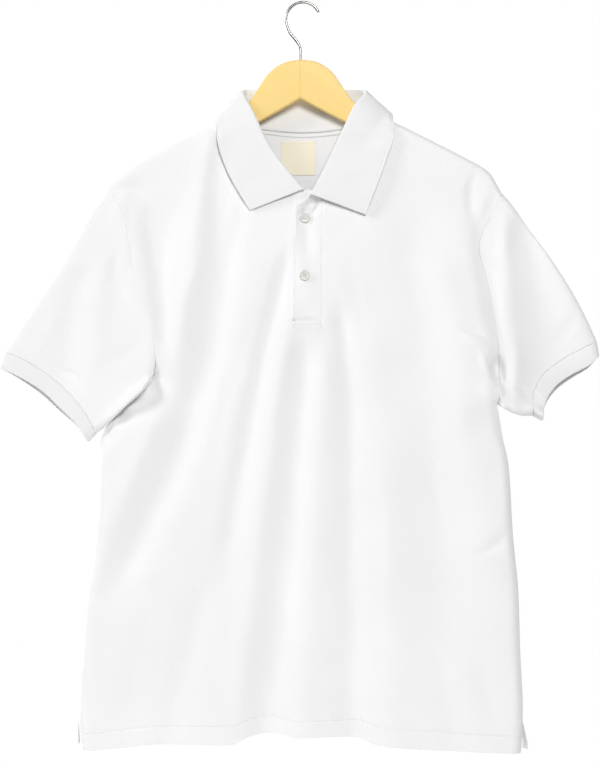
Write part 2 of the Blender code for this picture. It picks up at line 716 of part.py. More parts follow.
def add_sleeve(front, back, end, shape):
    """One sleeve as a tube from the armhole to the cuff seam, and its cuff."""
    front_points, front_normal = front.armhole(end)
    back_points, back_normal = back.armhole(end)
    ring = np.concatenate([front_points, back_points[-2:0:-1]])
    ring_normal = unit(np.concatenate([front_normal, back_normal[-2:0:-1]]))
    foot = len(front_points) - 1
    ring[[0, foot], 1] = 0.0
    sign = np.where(np.arange(len(ring)) <= foot, -1.0, 1.0)
    share = np.concatenate([length_share(front_points), length_share(back_points)[-2:0:-1]])
    outer = sleeve_grid(ring, share, sign, foot, shape)
    outer[0] = ring + seam_steps(ring, ring_normal, outer[1] - ring)
    normal = normals_of(outer, closed=True)
    if normal[4, 0, 2] < 0:
        normal = -normal
    normal[0] = ring_normal
    inner = outer - normal * CLOTH
    add_object(f"sleeve_{end}", "cloth", *wall_mesh(outer, inner, closed=True))
    add_cuff(end, outer[-1], normal[-1], share, sign, foot, shape)


def sleeve_grid(ring, share, sign, foot, shape):
    """Rings between armhole and cuff seam: a patch blended from its four edges in the front view."""
    start = np.stack([ring[:, 0], -ring[:, 2]], axis=1)
    finish = along(shape["seam"], share)
    s = share[:, None]
    rings = []
    for v in SLEEVE_RINGS:
        corner_top = (1 - v) * start[0] + v * finish[0]
        corner_foot = (1 - v) * start[foot] + v * finish[foot]
        place = (
            (1 - v) * start + v * finish
            + (1 - s) * (along(shape["outer"], v) - corner_top)
            + s * (along(shape["under"], v) - corner_foot)
        )
        y = sleeve_depth(ring[:, 1], place, share, sign, foot, v)
        rings.append(np.stack([place[:, 0], y, -place[:, 1]], axis=1))
    return np.array(rings)


def sleeve_depth(start, place, share, sign, foot, v):
    """y of one sleeve ring: full in the middle, turned to the middle plane at both edges."""
    width = np.linalg.norm(place[foot] - place[0])
    turned = roll(np.minimum(share, 1 - share) * width / SLEEVE_EDGE_ROLL)
    full = np.where(sign < 0, SLEEVE_REACH["front"], SLEEVE_REACH["back"])
    last = np.where(sign < 0, CUFF_REACH["front"], CUFF_REACH["back"])
    depth = full + (last - full) * soft_step((v - SLEEVE_TAPER_FROM) / (1 - SLEEVE_TAPER_FROM))
    blend = soft_step(v / SLEEVE_EASE)
    return (1 - blend) * start + blend * sign * depth * turned


def add_cuff(end, seam, normal, share, sign, foot, shape):
    """A ribbed band that goes on from the sleeve's last ring."""
    edge = along(shape["edge"], share)
    turned = roll(np.minimum(share, 1 - share) * CUFF_EDGE_TURN)
    last = np.stack([edge[:, 0], seam[:, 1] + sign * turned * CUFF_FLARE, -edge[:, 1]], axis=1)
    towards = last - seam
    first = seam + seam_steps(seam, normal, towards)
    outer = np.array([first + (last - first) * part for part in CUFF_PARTS])
    walls = np.array([normal] * len(outer)) * CLOTH
    add_object(f"cuff_{end}", "rib", *wall_mesh(outer, outer - walls, closed=True))


def collar_stations(left, rear, right):
    """Station of each vertex of the neck seam: 0 to 1, 1 to 3 round the back, 3 to 4."""
    shares = [length_share(line) for line in (left, rear, right)]
    return np.concatenate([shares[0], 1 + 2 * shares[1][1:-1], 3 + shares[2]])


def add_collar(front, back):
    """The collar: it rises from the neck edges to its fold and falls outside to its leaf's edge."""
    left, left_normal = front.neck(front.neck_first, front.slit_first)
    right, right_normal = front.neck(front.slit_last, front.neck_last)
    rear, rear_normal = back.neck(back.neck_first, back.neck_last)
    left, right = left[::-1], right[::-1]
    seam = np.concatenate([left, rear[1:-1], right])
    normal = unit(np.concatenate([left_normal[::-1], rear_normal[1:-1], right_normal[::-1]]))
    corners = [len(left) - 1, len(left) + len(rear) - 2]
    seam[corners, 1] = 0.0
    station = collar_stations(left, rear, right)
    fold, edge = (collar_line(name, station) for name in ("fold", "edge"))
    base = seam - normal * CLOTH / 2
    rise = unit(fold - base)
    turn = np.radians(smooth_curve(COLLAR_FACING["station"], COLLAR_FACING["turn"], station))
    facing = np.stack([-np.sin(turn), -np.cos(turn), 0 * turn], axis=1)
    outward = unit(facing - (facing * rise).sum(1, keepdims=True) * rise)
    inwards = base * [-1.0, 0.0, 0.0] + NECK_UP
    foot = base + seam_steps(seam, normal, inwards, closed=False)
    centre = fold - rise * FOLD_RADIUS + outward * FOLD_RADIUS
    top = centre - outward * FOLD_RADIUS
    middle = [foot + (top - foot) * part for part in STAND_PARTS]
    for angle in np.radians(FOLD_TURNS):
        middle.append(centre + FOLD_RADIUS * (rise * math.sin(angle) - outward * math.cos(angle)))
    fallen = middle[-1]
    middle += [fallen + (edge - fallen) * part for part in LEAF_PARTS]
    middle = np.array(middle)
    front_half = (station < 1) | (station > 3)
    falls = slice(len(STAND_PARTS) + 2, None)
    middle[falls] = clear_of_panels(middle[falls], front_half)
    wall = normals_of(middle)
    if (wall[0] * normal).sum() < 0:
        wall = -wall
    half = wall * COLLAR_WALL / 2
    half[0] = normal * CLOTH / 2
    add_object("collar", "rib", *wall_mesh(middle + half, middle - half))


def collar_line(name, station):
    """Points of the fold or of the leaf's edge at each station."""
    x, y, drop = (
        smooth_curve(COLLAR["station"], COLLAR[f"{name}_{part}"], station)
        for part in ("x", "y", "drop")
    )
    return np.stack([x, y, -drop], axis=1)


def clear_of_panels(points, front_half):
    """Moves the leaf's points out until the wall and a gap clear the shoulders below."""
    room = COLLAR_WALL / 2 + LEAF_ROOM
    x, drop = points[..., 0], -points[..., 2]
    covered = roll((drop - shoulder_line(x) + room) / SHOULDER_ROLL)
    most_front = -(reach("front", x, drop) + room) * covered
    most_back = (reach("back", x, drop) + room) * covered
    y = points[..., 1]
    points[..., 1] = np.where(front_half, np.minimum(y, most_front), np.maximum(y, most_back))
    return points


def add_strip(name, front, face, lift, left):
    """A strip of the placket that follows the front panel's points, moved out from one face."""
    rows = front.outer[STRIP_FIRST_ROW : front.slit_row + 1, front.slit_first]
    drop = np.append(-rows[:, 2], PLACKET_END_DROP + PLACKET_LAP)[:, None]
    x = np.maximum(PLACKET_COLUMNS, left(drop) + PLACKET_LAP * np.arange(len(PLACKET_COLUMNS)))
    drop = np.broadcast_to(drop, x.shape)
    outer = np.stack([x, front.depth(face, x, drop) + lift, -drop], axis=-1)
    return add_object(name, "cloth", *wall_mesh(outer, outer + np.array([0.0, STRIP_WALL, 0.0])))


def add_placket(front):
    """The upper strip over the slit, the strip behind it, and the two buttons."""

    def turned_corner(drop):
        turned = np.clip((CORNER_DROP - drop) / CORNER_TALL, 0, 1)
        return PLACKET_COLUMNS[0] + CORNER_WIDE * turned

    add_strip("placket_upper", front, "outer", -STRIP_GAP - STRIP_WALL, turned_corner)
    add_strip("placket_under", front, "inner", STRIP_GAP, lambda drop: PLACKET_COLUMNS[0] + 0 * drop)
    for number, drop in enumerate(BUTTON_DROPS, start=1):
        add_button(f"button_{number}", front, drop)


def add_button(name, front, drop):
    """A turned button with a raised rim, lying on the upper strip."""
    radius = BUTTON_DIAMETER / 2
    around = [(BUTTON_X + radius * dx, drop + radius * dz) for dx in (-1, 0, 1) for dz in (-1, 0, 1)]
    over = min(float(front.depth("outer", x, z)) for x, z in around)
    seat = -over + STRIP_GAP + STRIP_WALL + SEAM_GAP
    turn = np.radians(np.arange(BUTTON_SIDES) * 360 / BUTTON_SIDES)
    points = [(BUTTON_X, -(seat + BUTTON_DISH * BUTTON_THICKNESS), -drop)]
    for out, height in BUTTON_PROFILE:
        y = -(seat + height * BUTTON_THICKNESS)
        points += [
            (BUTTON_X + out * radius * math.cos(a), y, -drop + out * radius * math.sin(a))
            for a in turn
        ]
    points.append((BUTTON_X, -seat, -drop))
    faces = []
    rings = len(BUTTON_PROFILE)
    for k in range(BUTTON_SIDES):
        n = (k + 1) % BUTTON_SIDES
        faces.append((0, 1 + n, 1 + k))
        for ring in range(rings - 1):
            a, b = 1 + ring * BUTTON_SIDES, 1 + (ring + 1) * BUTTON_SIDES
            faces.append((a + k, a + n, b + n, b + k))
        last = 1 + (rings - 1) * BUTTON_SIDES
        faces.append((last + k, last + n, len(points) - 1))
    add_object(name, "button", points, faces)


def add_tape_and_label(back):
    """The tape over the back neck seam and the bare label, both on the back panel's inside."""
    x = np.linspace(-TAPE_HALF, TAPE_HALF, TAPE_COLUMNS)
    seam = np.interp(x, back.outer[0, :, 0], -back.outer[0, :, 2])
    rows = np.array(TAPE_ROWS)[:, None]
    lay_inside("neck_tape", "tape", back, x + 0 * rows, seam + rows)
    label_x = np.linspace(LABEL_LEFT, LABEL_LEFT + LABEL_SIZE, LABEL_POINTS)
    label_drop = np.linspace(LABEL_DROP, LABEL_DROP + LABEL_SIZE, LABEL_POINTS)
    lay_inside("label", "label", back, *np.meshgrid(label_x, label_drop))


def lay_inside(name, finish, back, x, drop):
    """A thin piece on the inside of the back panel, made from its points."""
    y = back.depth("inner", x, drop) - STRIP_GAP
    outer = np.stack([x, y, -drop], axis=-1)
    add_object(name, finish, *wall_mesh(outer - np.array([0, TAPE_WALL, 0]), outer))


def board_outline():
    """The board's outline as out and drop: crown, arm, round tip and underside, both halves."""
    top = smooth_curve(BOARD_TOP["out"], BOARD_TOP["drop"], BOARD_TOP_AT)
    under = smooth_curve(BOARD_UNDER["out"], BOARD_UNDER["drop"], BOARD_UNDER_AT)
    centre, radius = (top[-1] + under[-1]) / 2, (under[-1] - top[-1]) / 2
    tip = np.radians(BOARD_TIP_TURNS)
    half = list(zip(BOARD_TOP_AT, top))
    half += list(zip(BOARD_TOP_AT[-1] + radius * np.cos(tip), centre + radius * np.sin(tip)))
    half += list(zip(BOARD_UNDER_AT[::-1], under[::-1]))
    return np.array(half + [(-o, d) for o, d in reversed(half[1:-1])])


def prism(outline_points, low, high):
    """Points and faces of an upright prism: rows of x and z between two y values."""
    count = len(outline_points)
    near = [(x, low, z) for x, z in outline_points]
    far = [(x, high, z) for x, z in outline_points]
    faces = [tuple(range(count)), tuple(range(2 * count - 1, count - 1, -1))]
    faces += [(k, count + k, count + (k + 1) % count, (k + 1) % count) for k in range(count)]
    return near + far, faces


def add_hanger():
    """The flat board under the shoulders, with a bore in its crown for the hook's stem."""
    profile = board_outline()
    tilt = math.radians(BOARD_TILT)
    x = STEM_X + profile[:, 0] * math.cos(tilt)
    z = -(CROWN_DROP + profile[:, 1]) + profile[:, 0] * math.sin(tilt)
    half = BOARD_THICKNESS / 2
    board = add_object("hanger", "wood", *prism(np.stack([x, z], 1), -half, half))
    bevel = board.modifiers.new("Rounded edges", "BEVEL")
    bevel.width = BOARD_EDGE_ROUND * MM
    bevel.segments = 2
    bevel.angle_limit = math.radians(60)
    bore = board.modifiers.new("Stem bore", "BOOLEAN")
    bore.operation = "DIFFERENCE"
    bore.object = bore_cutter()


def bore_cutter():
    """A hidden rod that cuts the bore for the hook's stem."""
    sides, radius = BORE_SIDES, WIRE / 2 + SEAM_GAP
    top, bottom = -(CROWN_DROP - BORE_RISE), -(CROWN_DROP + STEM_BORE_DEPTH)
    turn = np.radians(np.arange(sides) * 360 / sides)
    ring = [(STEM_X + radius * math.cos(a), radius * math.sin(a)) for a in turn]
    points = [(x, y, top) for x, y in ring] + [(x, y, bottom) for x, y in ring]
    faces = [tuple(range(sides)), tuple(range(2 * sides - 1, sides - 1, -1))]
    faces += [(k, sides + k, sides + (k + 1) % sides, (k + 1) % sides) for k in range(sides)]
    cutter = add_object("stem_cutter", "wood", points, faces)
    cutter.hide_render = True
    cutter.display_type = "WIRE"
    return cutter


def hook_path():
    """The wire's middle line: the tip, over the crown, down the diagonal and into the board."""
    centre_drop = HOOK_RADIUS - WIRE / 2
    turns = np.radians(np.linspace(HOOK_TIP_TURN, -HOOK_BACK_TURN, HOOK_POINTS))
    path = [
        (HOOK_RADIUS * math.sin(a), centre_drop - HOOK_RADIUS * math.cos(a)) for a in turns
    ]
    path += HOOK_BEND.tolist()
    return path + [(STEM_X, CROWN_DROP + STEM_BORE_DEPTH - STEM_END_GAP)]


def add_hook():
    """The hook's wire as a curve with a round bevel and filled ends."""
    curve = bpy.data.curves.new("hook", "CURVE")
    curve.dimensions = "3D"
    curve.bevel_depth = WIRE / 2 * MM
    curve.bevel_resolution = 2
    curve.use_fill_caps = True
    path = hook_path()
    line = curve.splines.new("POLY")
    line.points.add(len(path) - 1)
    for point, (x, drop) in zip(line.points, path):
        point.co = (x * MM, 0.0, -drop * MM, 1.0)
    curve.materials.append(material_for("chrome"))
    obj = bpy.data.objects.new("hook", curve)
    bpy.context.scene.collection.objects.link(obj)


def main():
    clear_scene()
    front, back = add_panels()
    add_sleeve(front, back, "left", SLEEVE_LEFT)
    add_sleeve(front, back, "right", SLEEVE_RIGHT)
    add_collar(front, back)
    add_placket(front)
    add_tape_and_label(back)
    add_hanger()
    add_hook()


main()
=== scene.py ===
"""A white polo shirt on a flat wooden hanger, dressed over its CAD frame.

Lengths are in millimetres and are turned to metres where a mesh is written. X runs to the right
as seen from the front, the front faces -Y, and a drop is a distance below the inside of the
hook's crown, where the origin is. The cloth's form comes from tables like those of the solids,
read on finer grids. Some folds and the collar's leaf lie a little elsewhere than in the solids,
and the small creases, hems, stitches and edges are added here.
"""

from __future__ import annotations

import logging
import math
from dataclasses import dataclass, field
from enum import Enum

import bmesh
import bpy
import numpy as np
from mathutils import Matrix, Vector

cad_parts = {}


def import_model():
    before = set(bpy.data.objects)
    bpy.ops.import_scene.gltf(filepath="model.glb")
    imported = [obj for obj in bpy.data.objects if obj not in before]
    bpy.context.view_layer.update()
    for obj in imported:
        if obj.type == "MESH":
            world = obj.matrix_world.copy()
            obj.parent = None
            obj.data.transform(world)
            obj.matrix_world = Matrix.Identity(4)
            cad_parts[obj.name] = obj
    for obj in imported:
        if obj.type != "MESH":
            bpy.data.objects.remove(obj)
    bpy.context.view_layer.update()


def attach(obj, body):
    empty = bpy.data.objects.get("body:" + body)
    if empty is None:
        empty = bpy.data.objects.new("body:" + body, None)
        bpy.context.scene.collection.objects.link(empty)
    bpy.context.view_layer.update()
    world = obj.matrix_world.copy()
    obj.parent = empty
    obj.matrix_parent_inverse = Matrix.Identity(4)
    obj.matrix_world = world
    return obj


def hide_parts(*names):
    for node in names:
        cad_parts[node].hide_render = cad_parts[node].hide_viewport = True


log = logging.getLogger("polo shirt")

Array = np.ndarray
MM = 0.001

# Points at which a curve is sampled to find a place on it
EDGE_SAMPLES = 500
LINE_SAMPLES = 4001

# Least share of its thickness that the cloth of a sewn piece keeps at its edge
SEWN_EDGE_SHARE = 0.6

# Length of one wave of a wave texture at a scale of one
STRAIGHT_WAVE = 0.314
SLANTED_WAVE = 0.222


class Side(Enum):
    """The two faces of the shirt, with the sign of Y on which each lies."""

    FRONT = -1.0
    BACK = 1.0


class End(Enum):
    """The two ends of the shoulders as seen from the front."""

    LEFT = "left"
    RIGHT = "right"


class Slot(Enum):
    """Material slots of the record."""

    CLOTH = "cloth"
    RIB = "rib"
    TAPE = "tape"
    LABEL = "label"
    BUTTON = "button"
    WOOD = "wood"
    CHROME = "chrome"


def table(columns: str, rows: list[tuple[float, ...]]) -> Array:
    """A table of numbers with named columns.

    Args:
        columns: the names of the columns, with spaces between them.
        rows: one tuple of numbers for each row.

    Returns:
        A structured array.
    """
    return np.array(rows, dtype=[(name, float) for name in columns.split()])


# Lines in the front view
SHOULDER = {
    End.LEFT: table(
        "x drop", [(-222, 209), (-203, 192), (-177, 176), (-148, 160), (-114, 144), (-81, 127)]
    ),
    End.RIGHT: table(
        "x drop", [(81, 125), (121, 144), (153, 160), (184, 176), (211, 192), (226, 216)]
    ),
}
NECK_FRONT = table(
    "x drop",
    [
        (-81, 127), (-75, 133), (-66, 146), (-54, 166), (-40, 186), (-22, 204), (-11, 211),
        (21, 211), (32, 203), (48, 186), (62, 165), (71, 146), (76, 132), (81, 125),
    ],
)
NECK_BACK = table(
    "x drop", [(-81, 127), (-66, 137), (-47, 143), (0, 147), (45, 143), (65, 135), (81, 125)]
)
ARMHOLE = {
    End.LEFT: table(
        "drop x",
        [
            (209, -222), (225, -212), (244, -203), (270, -198), (290, -196), (309, -192),
            (334, -185), (352, -176), (391, -168), (409, -167), (425, -170),
        ],
    ),
    End.RIGHT: table(
        "drop x",
        [
            (216, 226), (230, 220), (246, 212), (261, 204), (282, 200), (300, 205),
            (334, 213), (386, 221), (416, 223), (438, 223), (457, 221),
        ],
    ),
}
SIDE_SEAM = {
    End.LEFT: table(
        "drop x",
        [
            (425, -170), (441, -182), (457, -199), (473, -215.5), (485, -226), (507, -231),
            (575, -234), (639, -240), (671, -246), (735, -251), (767, -254), (808, -255),
            (844, -253),
        ],
    ),
    End.RIGHT: table(
        "drop x",
        [
            (457, 221), (479, 225), (498, 228), (527, 234), (607, 239), (671, 245),
            (735, 247), (800, 250), (851, 248),
        ],
    ),
}
HEM_FRONT = table(
    "x drop",
    [
        (-253, 844), (-239, 847), (-150, 840), (-88, 841), (-62, 831), (-41, 828),
        (-6, 833), (30, 832), (63, 832), (95, 842), (138, 846), (248, 851),
    ],
)
HEM_BACK = table(
    "x drop",
    [(-253, 844), (-150, 838), (-88, 838), (-41, 826), (30, 829), (95, 838), (248, 851)],
)

# How the cloth turns at its edges
SHOULDER_ROLL = 8.0
SIDE_ROLL = 13.0
ROLL_POWER = 2.6
ROLL_STEPS = 11
NECK_SLOPE = 0.5
ARM_FOOT_TURN = 16.0
STRAIGHT_FROM = -25.0
STRAIGHT_TO = 40.0
HEM_WIDENING = 1.13
LEAST_EDGE = 0.15
VENT_DROP = 802.0
VENT_TAIL = {End.LEFT: -3.5, End.RIGHT: 9.0}
VENT_SPREAD = 0.07
VENT_EASE = 16.0

# How far the cloth stands from the middle plane, before its folds
REACH = table(
    "drop front back",
    [
        (95, 8.6, 8.8), (200, 9.4, 9.2), (260, 13, 10.5), (330, 18, 13), (420, 22, 15),
        (540, 24, 17), (700, 25, 18), (860, 24, 17),
    ],
)
LEAST_REACH = 8.4
WELL_LIMIT = 1.3
REACH_EASE = 1.2
SWELLS_FROM = 190.0
SWELLS_OVER = 90.0
CREASE_ROOM = 1.0

# Folds run along a curve through three points. Depth goes in, and a minus depth is a ridge.
FOLD_END = 42.0
FOLD_COLUMNS = "x0 drop0 x1 drop1 x2 drop2 wide_top wide_foot depth"
FRONT_FOLDS = table(
    FOLD_COLUMNS,
    [
        (-79, 150, -108, 395, -210, 666, 19, 22, 8.5),
        (-101, 122, -143, 395, -215, 593, 12, 17, -3.2),
        (-13, 270, -48, 424, -86, 633, 10, 15, 5.0),
        (-12, 330, -36, 480, -74, 800, 13, 16, -2.6),
        (2, 372, -8, 497, -48, 870, 12, 22, 6.5),
        (29, 372, 18, 508, 0, 870, 13, 18, -2.2),
        (41, 330, 54, 474, 56, 870, 10, 21, 4.6),
        (70, 360, 98, 542, 104, 870, 18, 22, -2.0),
        (124, 222, 143, 452, 162, 735, 24, 28, 3.0),
        (202, 196, 211, 300, 228, 396, 15, 12, 7.5),
        (-169, 212, -163, 294, -155, 378, 16, 9, 9.0),
        (49, 275, 60, 339, 72, 410, 9, 10, 1.0),
        (146, 271, 176, 384, 221, 700, 22, 26, -2.4),
        (-145, 214, -148, 237, -151, 258, 12, 12, 2.6),
        (-106, 640, -128, 735, -160, 870, 15, 18, 2.4),
        (148, 715, 162, 779, 176, 870, 17, 17, 1.8),
    ],
)
BACK_FOLDS = table(
    FOLD_COLUMNS,
    [
        (-120, 240, -140, 420, -190, 640, 18, 18, 5.0),
        (-58, 280, -78, 520, -100, 870, 17, 20, 4.5),
        (8, 390, 2, 560, -18, 870, 14, 20, 3.4),
        (66, 320, 82, 560, 96, 870, 13, 18, 5.0),
        (140, 250, 150, 440, 176, 800, 18, 18, 4.0),
        (38, 500, 46, 650, 42, 870, 11, 14, 1.8),
        (-26, 560, -38, 700, -54, 870, 10, 14, -1.5),
    ],
)

# Hollows where a sleeve pulls the cloth in
PIT_COLUMNS = "x drop wide tall depth"
FRONT_PITS = table(
    PIT_COLUMNS, [(-172, 436, 26, 30, 14.0), (230, 411, 10.5, 17, 9.0), (206, 476, 22, 22, 5.0)]
)
BACK_PITS = table(PIT_COLUMNS, [(-178, 436, 24, 32, 7.0), (208, 420, 20, 32, 7.0)])

# Wells at the underarms, where the cloth goes in past its least reach, by a share of it
WELLS = table(
    PIT_COLUMNS,
    [
        (234, 417, 14, 12, 0.9), (-175, 427, 8, 12, 0.9), (-191, 446, 12, 13, 0.95),
        (-209, 466, 13, 13, 0.95), (-227, 485, 12, 12, 0.95), (226, 474, 10, 22, 0.4),
    ],
)

# Small creases: a middle, the way they run in degrees from +X down, half length and half width
CREASE_COLUMNS = "x drop turn long wide bend depth"
FRONT_CREASES = table(
    CREASE_COLUMNS,
    [
        (-190, 213, 20, 20, 8, 3, 2.6),
        (-206, 236, 100, 26, 7, 0, -1.2),
        (190, 216, 96, 20, 5, -3, 2.4),
        (204, 228, 108, 26, 7, 0, -1.6),
        (195, 386, 25, 17, 6, 2, -2.6),
        (191, 373, 18, 15, 4, 2, 1.6),
        (210, 441, 60, 13, 9, 0, -2.4),
        (216, 616, 144, 21, 6, 3, 2.2),
        (233, 643, 19, 13, 5, 0, 1.6),
        (-228, 675, 32, 16, 6, 2, 1.8),
        (-236, 560, 60, 20, 7, 0, 1.2),
        (-15, 308, 91, 34, 2.0, 0, -1.1),
        (206, 411, 66, 13, 4, 0, -2.6),
        (221, 417, 78, 13, 6.5, 0, 8.0),
        (-91, 214, 98, 42, 9, 0, 2.6),
        (-194, 292, 85, 13, 3, 0, 1.6),
        (-92, 167, 72, 15, 4.5, 1, 3.2),
        (2, 352, 3, 13, 7, 1, 1.4),
        (30, 392, 75, 24, 7, 2, 1.1),
        (-118, 300, 112, 60, 6, 4, -1.0),
        (-92, 470, 104, 70, 7, -4, 0.9),
        (96, 600, 86, 80, 9, 5, -0.9),
        (-10, 640, 95, 90, 8, 4, 0.8),
        (150, 560, 80, 70, 9, -5, 0.8),
        (60, 250, 150, 30, 9, 4, 0.9),
        (-60, 226, 35, 26, 8, -3, 0.8),
        (-190, 760, 96, 60, 10, 3, 0.9),
        (205, 760, 84, 60, 10, -3, 0.8),
    ],
)
STRIP_CREASES = table(
    CREASE_COLUMNS,
    [
        (8.0, 234, 130, 14, 6, 0, 9.5),
        (2.9, 225, 138, 9, 2.6, 1, -2.6),
        (-8, 246, 90, 20, 2.6, 0, -1.2),
        (-10, 306, 90, 28, 1.8, 0, -0.5),
        (5, 258, 90, 34, 8, 0, 3.2),
    ],
)
BACK_CREASES = table(
    CREASE_COLUMNS,
    [
        (-188, 226, 60, 34, 8, 4, 2.2),
        (192, 230, 118, 36, 8, -4, 2.0),
        (-150, 300, 66, 50, 10, 5, 1.4),
        (156, 306, 112, 52, 10, -5, 1.5),
        (-30, 220, 20, 60, 12, 8, 1.0),
        (40, 236, 164, 55, 12, -7, 1.1),
        (-205, 470, 130, 30, 9, 3, 2.0),
        (214, 488, 48, 28, 9, -3, 2.0),
        (-110, 560, 96, 90, 9, 5, -1.1),
        (36, 620, 88, 100, 9, -5, -1.0),
        (120, 700, 84, 80, 9, 4, 1.1),
        (-206, 690, 28, 24, 7, 2, 1.6),
        (212, 664, 150, 26, 7, -2, 1.7),
        (-20, 470, 100, 70, 8, 4, 1.0),
    ],
)

# Slow unevenness of hung cloth: sine waves by their length, way, start and height
SWELLS = table(
    "length turn start height",
    [
        (148, 14, 0.4, 0.35), (117, 71, 1.9, 0.30), (93, 122, 3.1, 0.28),
        (76, 38, 4.4, 0.20), (61, 97, 5.2, 0.16), (47, 158, 0.9, 0.10),
    ],
)

# Hem: a folded band with a sewn line, and the wall's fine edge
HEM_BAND = 19.0
HEM_RISE = 0.35
HEM_GROOVE = 0.55
HEM_PUCKER = 0.28
HEM_PUCKER_LENGTH = 8.5
COLUMN_LENGTH = 650.0

# Placket, in the front view
PLACKET_LEFT = -11.0
PLACKET_RIGHT = 21.0
PLACKET_LAP = 1.5
PLACKET_END = 374.0
CORNER_DROP = 262.0
BUTTON_X = 2.0
BUTTON_DROPS = (245.0, 311.0)

# Sleeve outlines in the front view
SLEEVE = {
    End.LEFT: dict(
        outer=table(
            "x drop",
            [
                (-222, 209), (-241, 240), (-259, 272), (-278, 304), (-299, 336), (-319, 366),
                (-339, 397),
            ],
        ),
        under=table("x drop", [(-170, 425), (-182, 441.5), (-198, 457), (-216, 474), (-235, 490)]),
        seam=table(
            "x drop",
            [
                (-339, 397), (-317, 406), (-294, 420), (-276, 434), (-258, 452), (-244, 471),
                (-235, 490),
            ],
        ),
        edge=table(
            "x drop",
            [(-346, 415), (-326, 424), (-299, 440), (-276, 461), (-256, 481), (-244, 500)],
        ),
    ),
    End.RIGHT: dict(
        outer=table(
            "x drop", [(226, 216), (235, 226), (258, 258), (288, 299), (318, 349), (335, 385)]
        ),
        under=table("x drop", [(221, 457), (236, 466), (252, 470), (261, 470)]),
        seam=table(
            "x drop", [(335, 385), (314, 395), (290, 409), (270, 427), (261, 448), (261, 470)]
        ),
        edge=table(
            "x drop", [(338, 402), (325, 413), (306, 423), (287, 437), (275, 456), (272, 476)]
        ),
    ),
}
SLEEVE_FOLDS = {
    End.LEFT: table(
        FOLD_COLUMNS,
        [
            (-243, 285, -259, 350, -270, 430, 15, 15, 2.4),
            (-222, 270, -232, 350, -240, 440, 14, 14, -2.0),
        ],
    ),
    End.RIGHT: table(
        FOLD_COLUMNS,
        [
            (222, 215, 233, 332, 242, 440, 8, 14, -2.8),
            (244, 222, 270, 332, 281, 440, 14, 34, 6.0),
        ],
    ),
}
SLEEVE_CREASES = {
    End.LEFT: table(
        CREASE_COLUMNS,
        [
            (-262, 424, 35, 16, 6, 2, 1.8),
            (-200, 400, 140, 22, 8, 3, 1.3),
            (-212, 300, 108, 24, 7, 2, 1.2),
            (-205, 330, 40, 20, 9, 2, 0.9),
            (-292, 380, 120, 30, 8, 3, -1.0),
        ],
    ),
    End.RIGHT: table(
        CREASE_COLUMNS,
        [
            (252, 446, 42, 12, 4, 2, 3.0),
            (262, 452, 70, 8, 4, 0, 3.0),
            (262, 464, 20, 9, 8, 0, -4.5),
            (240, 420, 96, 26, 8, 0, -2.0),
            (300, 372, 128, 24, 7, 3, 1.0),
            (232, 452, 20, 14, 6, 2, -1.4),
        ],
    ),
}
NO_PITS = table(PIT_COLUMNS, [])
SLEEVE_EDGE_ROLL = 14.0
SLEEVE_REACH = {Side.FRONT: 17.0, Side.BACK: 13.0}
CUFF_REACH = {Side.FRONT: 14.0, Side.BACK: 11.0}
SLEEVE_LEAST = 2.0
SLEEVE_EASE = 0.2
SLEEVE_TAPER_FROM = 0.4

# Collar sections round the neck: where the fold and the leaf's edge lie
COLLAR = table(
    "station fold_x fold_y fold_drop edge_x edge_y edge_drop",
    [
        (0.00, 2, -13, 214, -60, -12.5, 237),
        (0.33, -16, -13, 194, -72, -12.5, 218),
        (0.66, -39, -12, 162, -88, -12.5, 187),
        (0.88, -56, -10, 126, -97, -14, 158),
        (1.00, -67, -3, 103, -99, 0, 129),
        (1.20, -65, 9, 98, -93, 12, 139),
        (1.50, -40, 16, 97, -62, 19, 154),
        (2.00, 0, 18, 97, 0, 20, 158),
        (2.50, 42, 16, 97, 62, 19, 153),
        (2.80, 68, 9, 98, 95, 12, 137),
        (3.00, 70, -3, 102, 102, 0, 127),
        (3.12, 58, -10, 118, 103, -14, 150),
        (3.34, 45, -12, 146, 96, -15, 175),
        (3.67, 25, -13, 188, 85, -17, 206),
        (4.00, 7.5, -15, 221, 71, -15.5, 242),
    ],
)
COLLAR_FACING = table(
    "station turn",
    [(0, 0), (0.6, 8), (1, 80), (1.5, 160), (2, 180), (2.5, 200), (3, 280), (3.4, 352), (4, 360)],
)
COLLAR_DENTS = table(
    PIT_COLUMNS,
    [
        (88, 136, 9, 8, 2.2), (74, 158, 14, 9, 2.4), (-82, 165, 12, 16, 1.2),
        (62, 205, 16, 10, 1.2), (-58, 205, 14, 8, 0.9), (-70, 128, 8, 10, 0.8),
    ],
)
NECK_UP = (0.0, 0.0, 50.0)

# Half of the board's outline, out from the stem and down from the crown
BOARD_TOP = table(
    "out drop",
    [
        (0, 0), (14, 1.8), (27, 7.5), (37, 16), (50, 35), (60, 49), (77.5, 66.5),
        (110.6, 82.6), (144.8, 98.4), (173.3, 113.8), (196, 129),
    ],
)
BOARD_UNDER = table(
    "out drop",
    [(0, 44.2), (48.8, 71), (77.5, 87), (110.6, 103), (144.8, 118.5), (173.3, 132), (196, 145)],
)
STEM_X = -3.0
CROWN_DROP = 64.6
HOOK_BEND = table(
    "x drop",
    [(-16, 31.5), (-11.5, 37.7), (-7, 43.2), (-4.3, 47.6), (STEM_X, 52.5), (STEM_X, 58)],
)


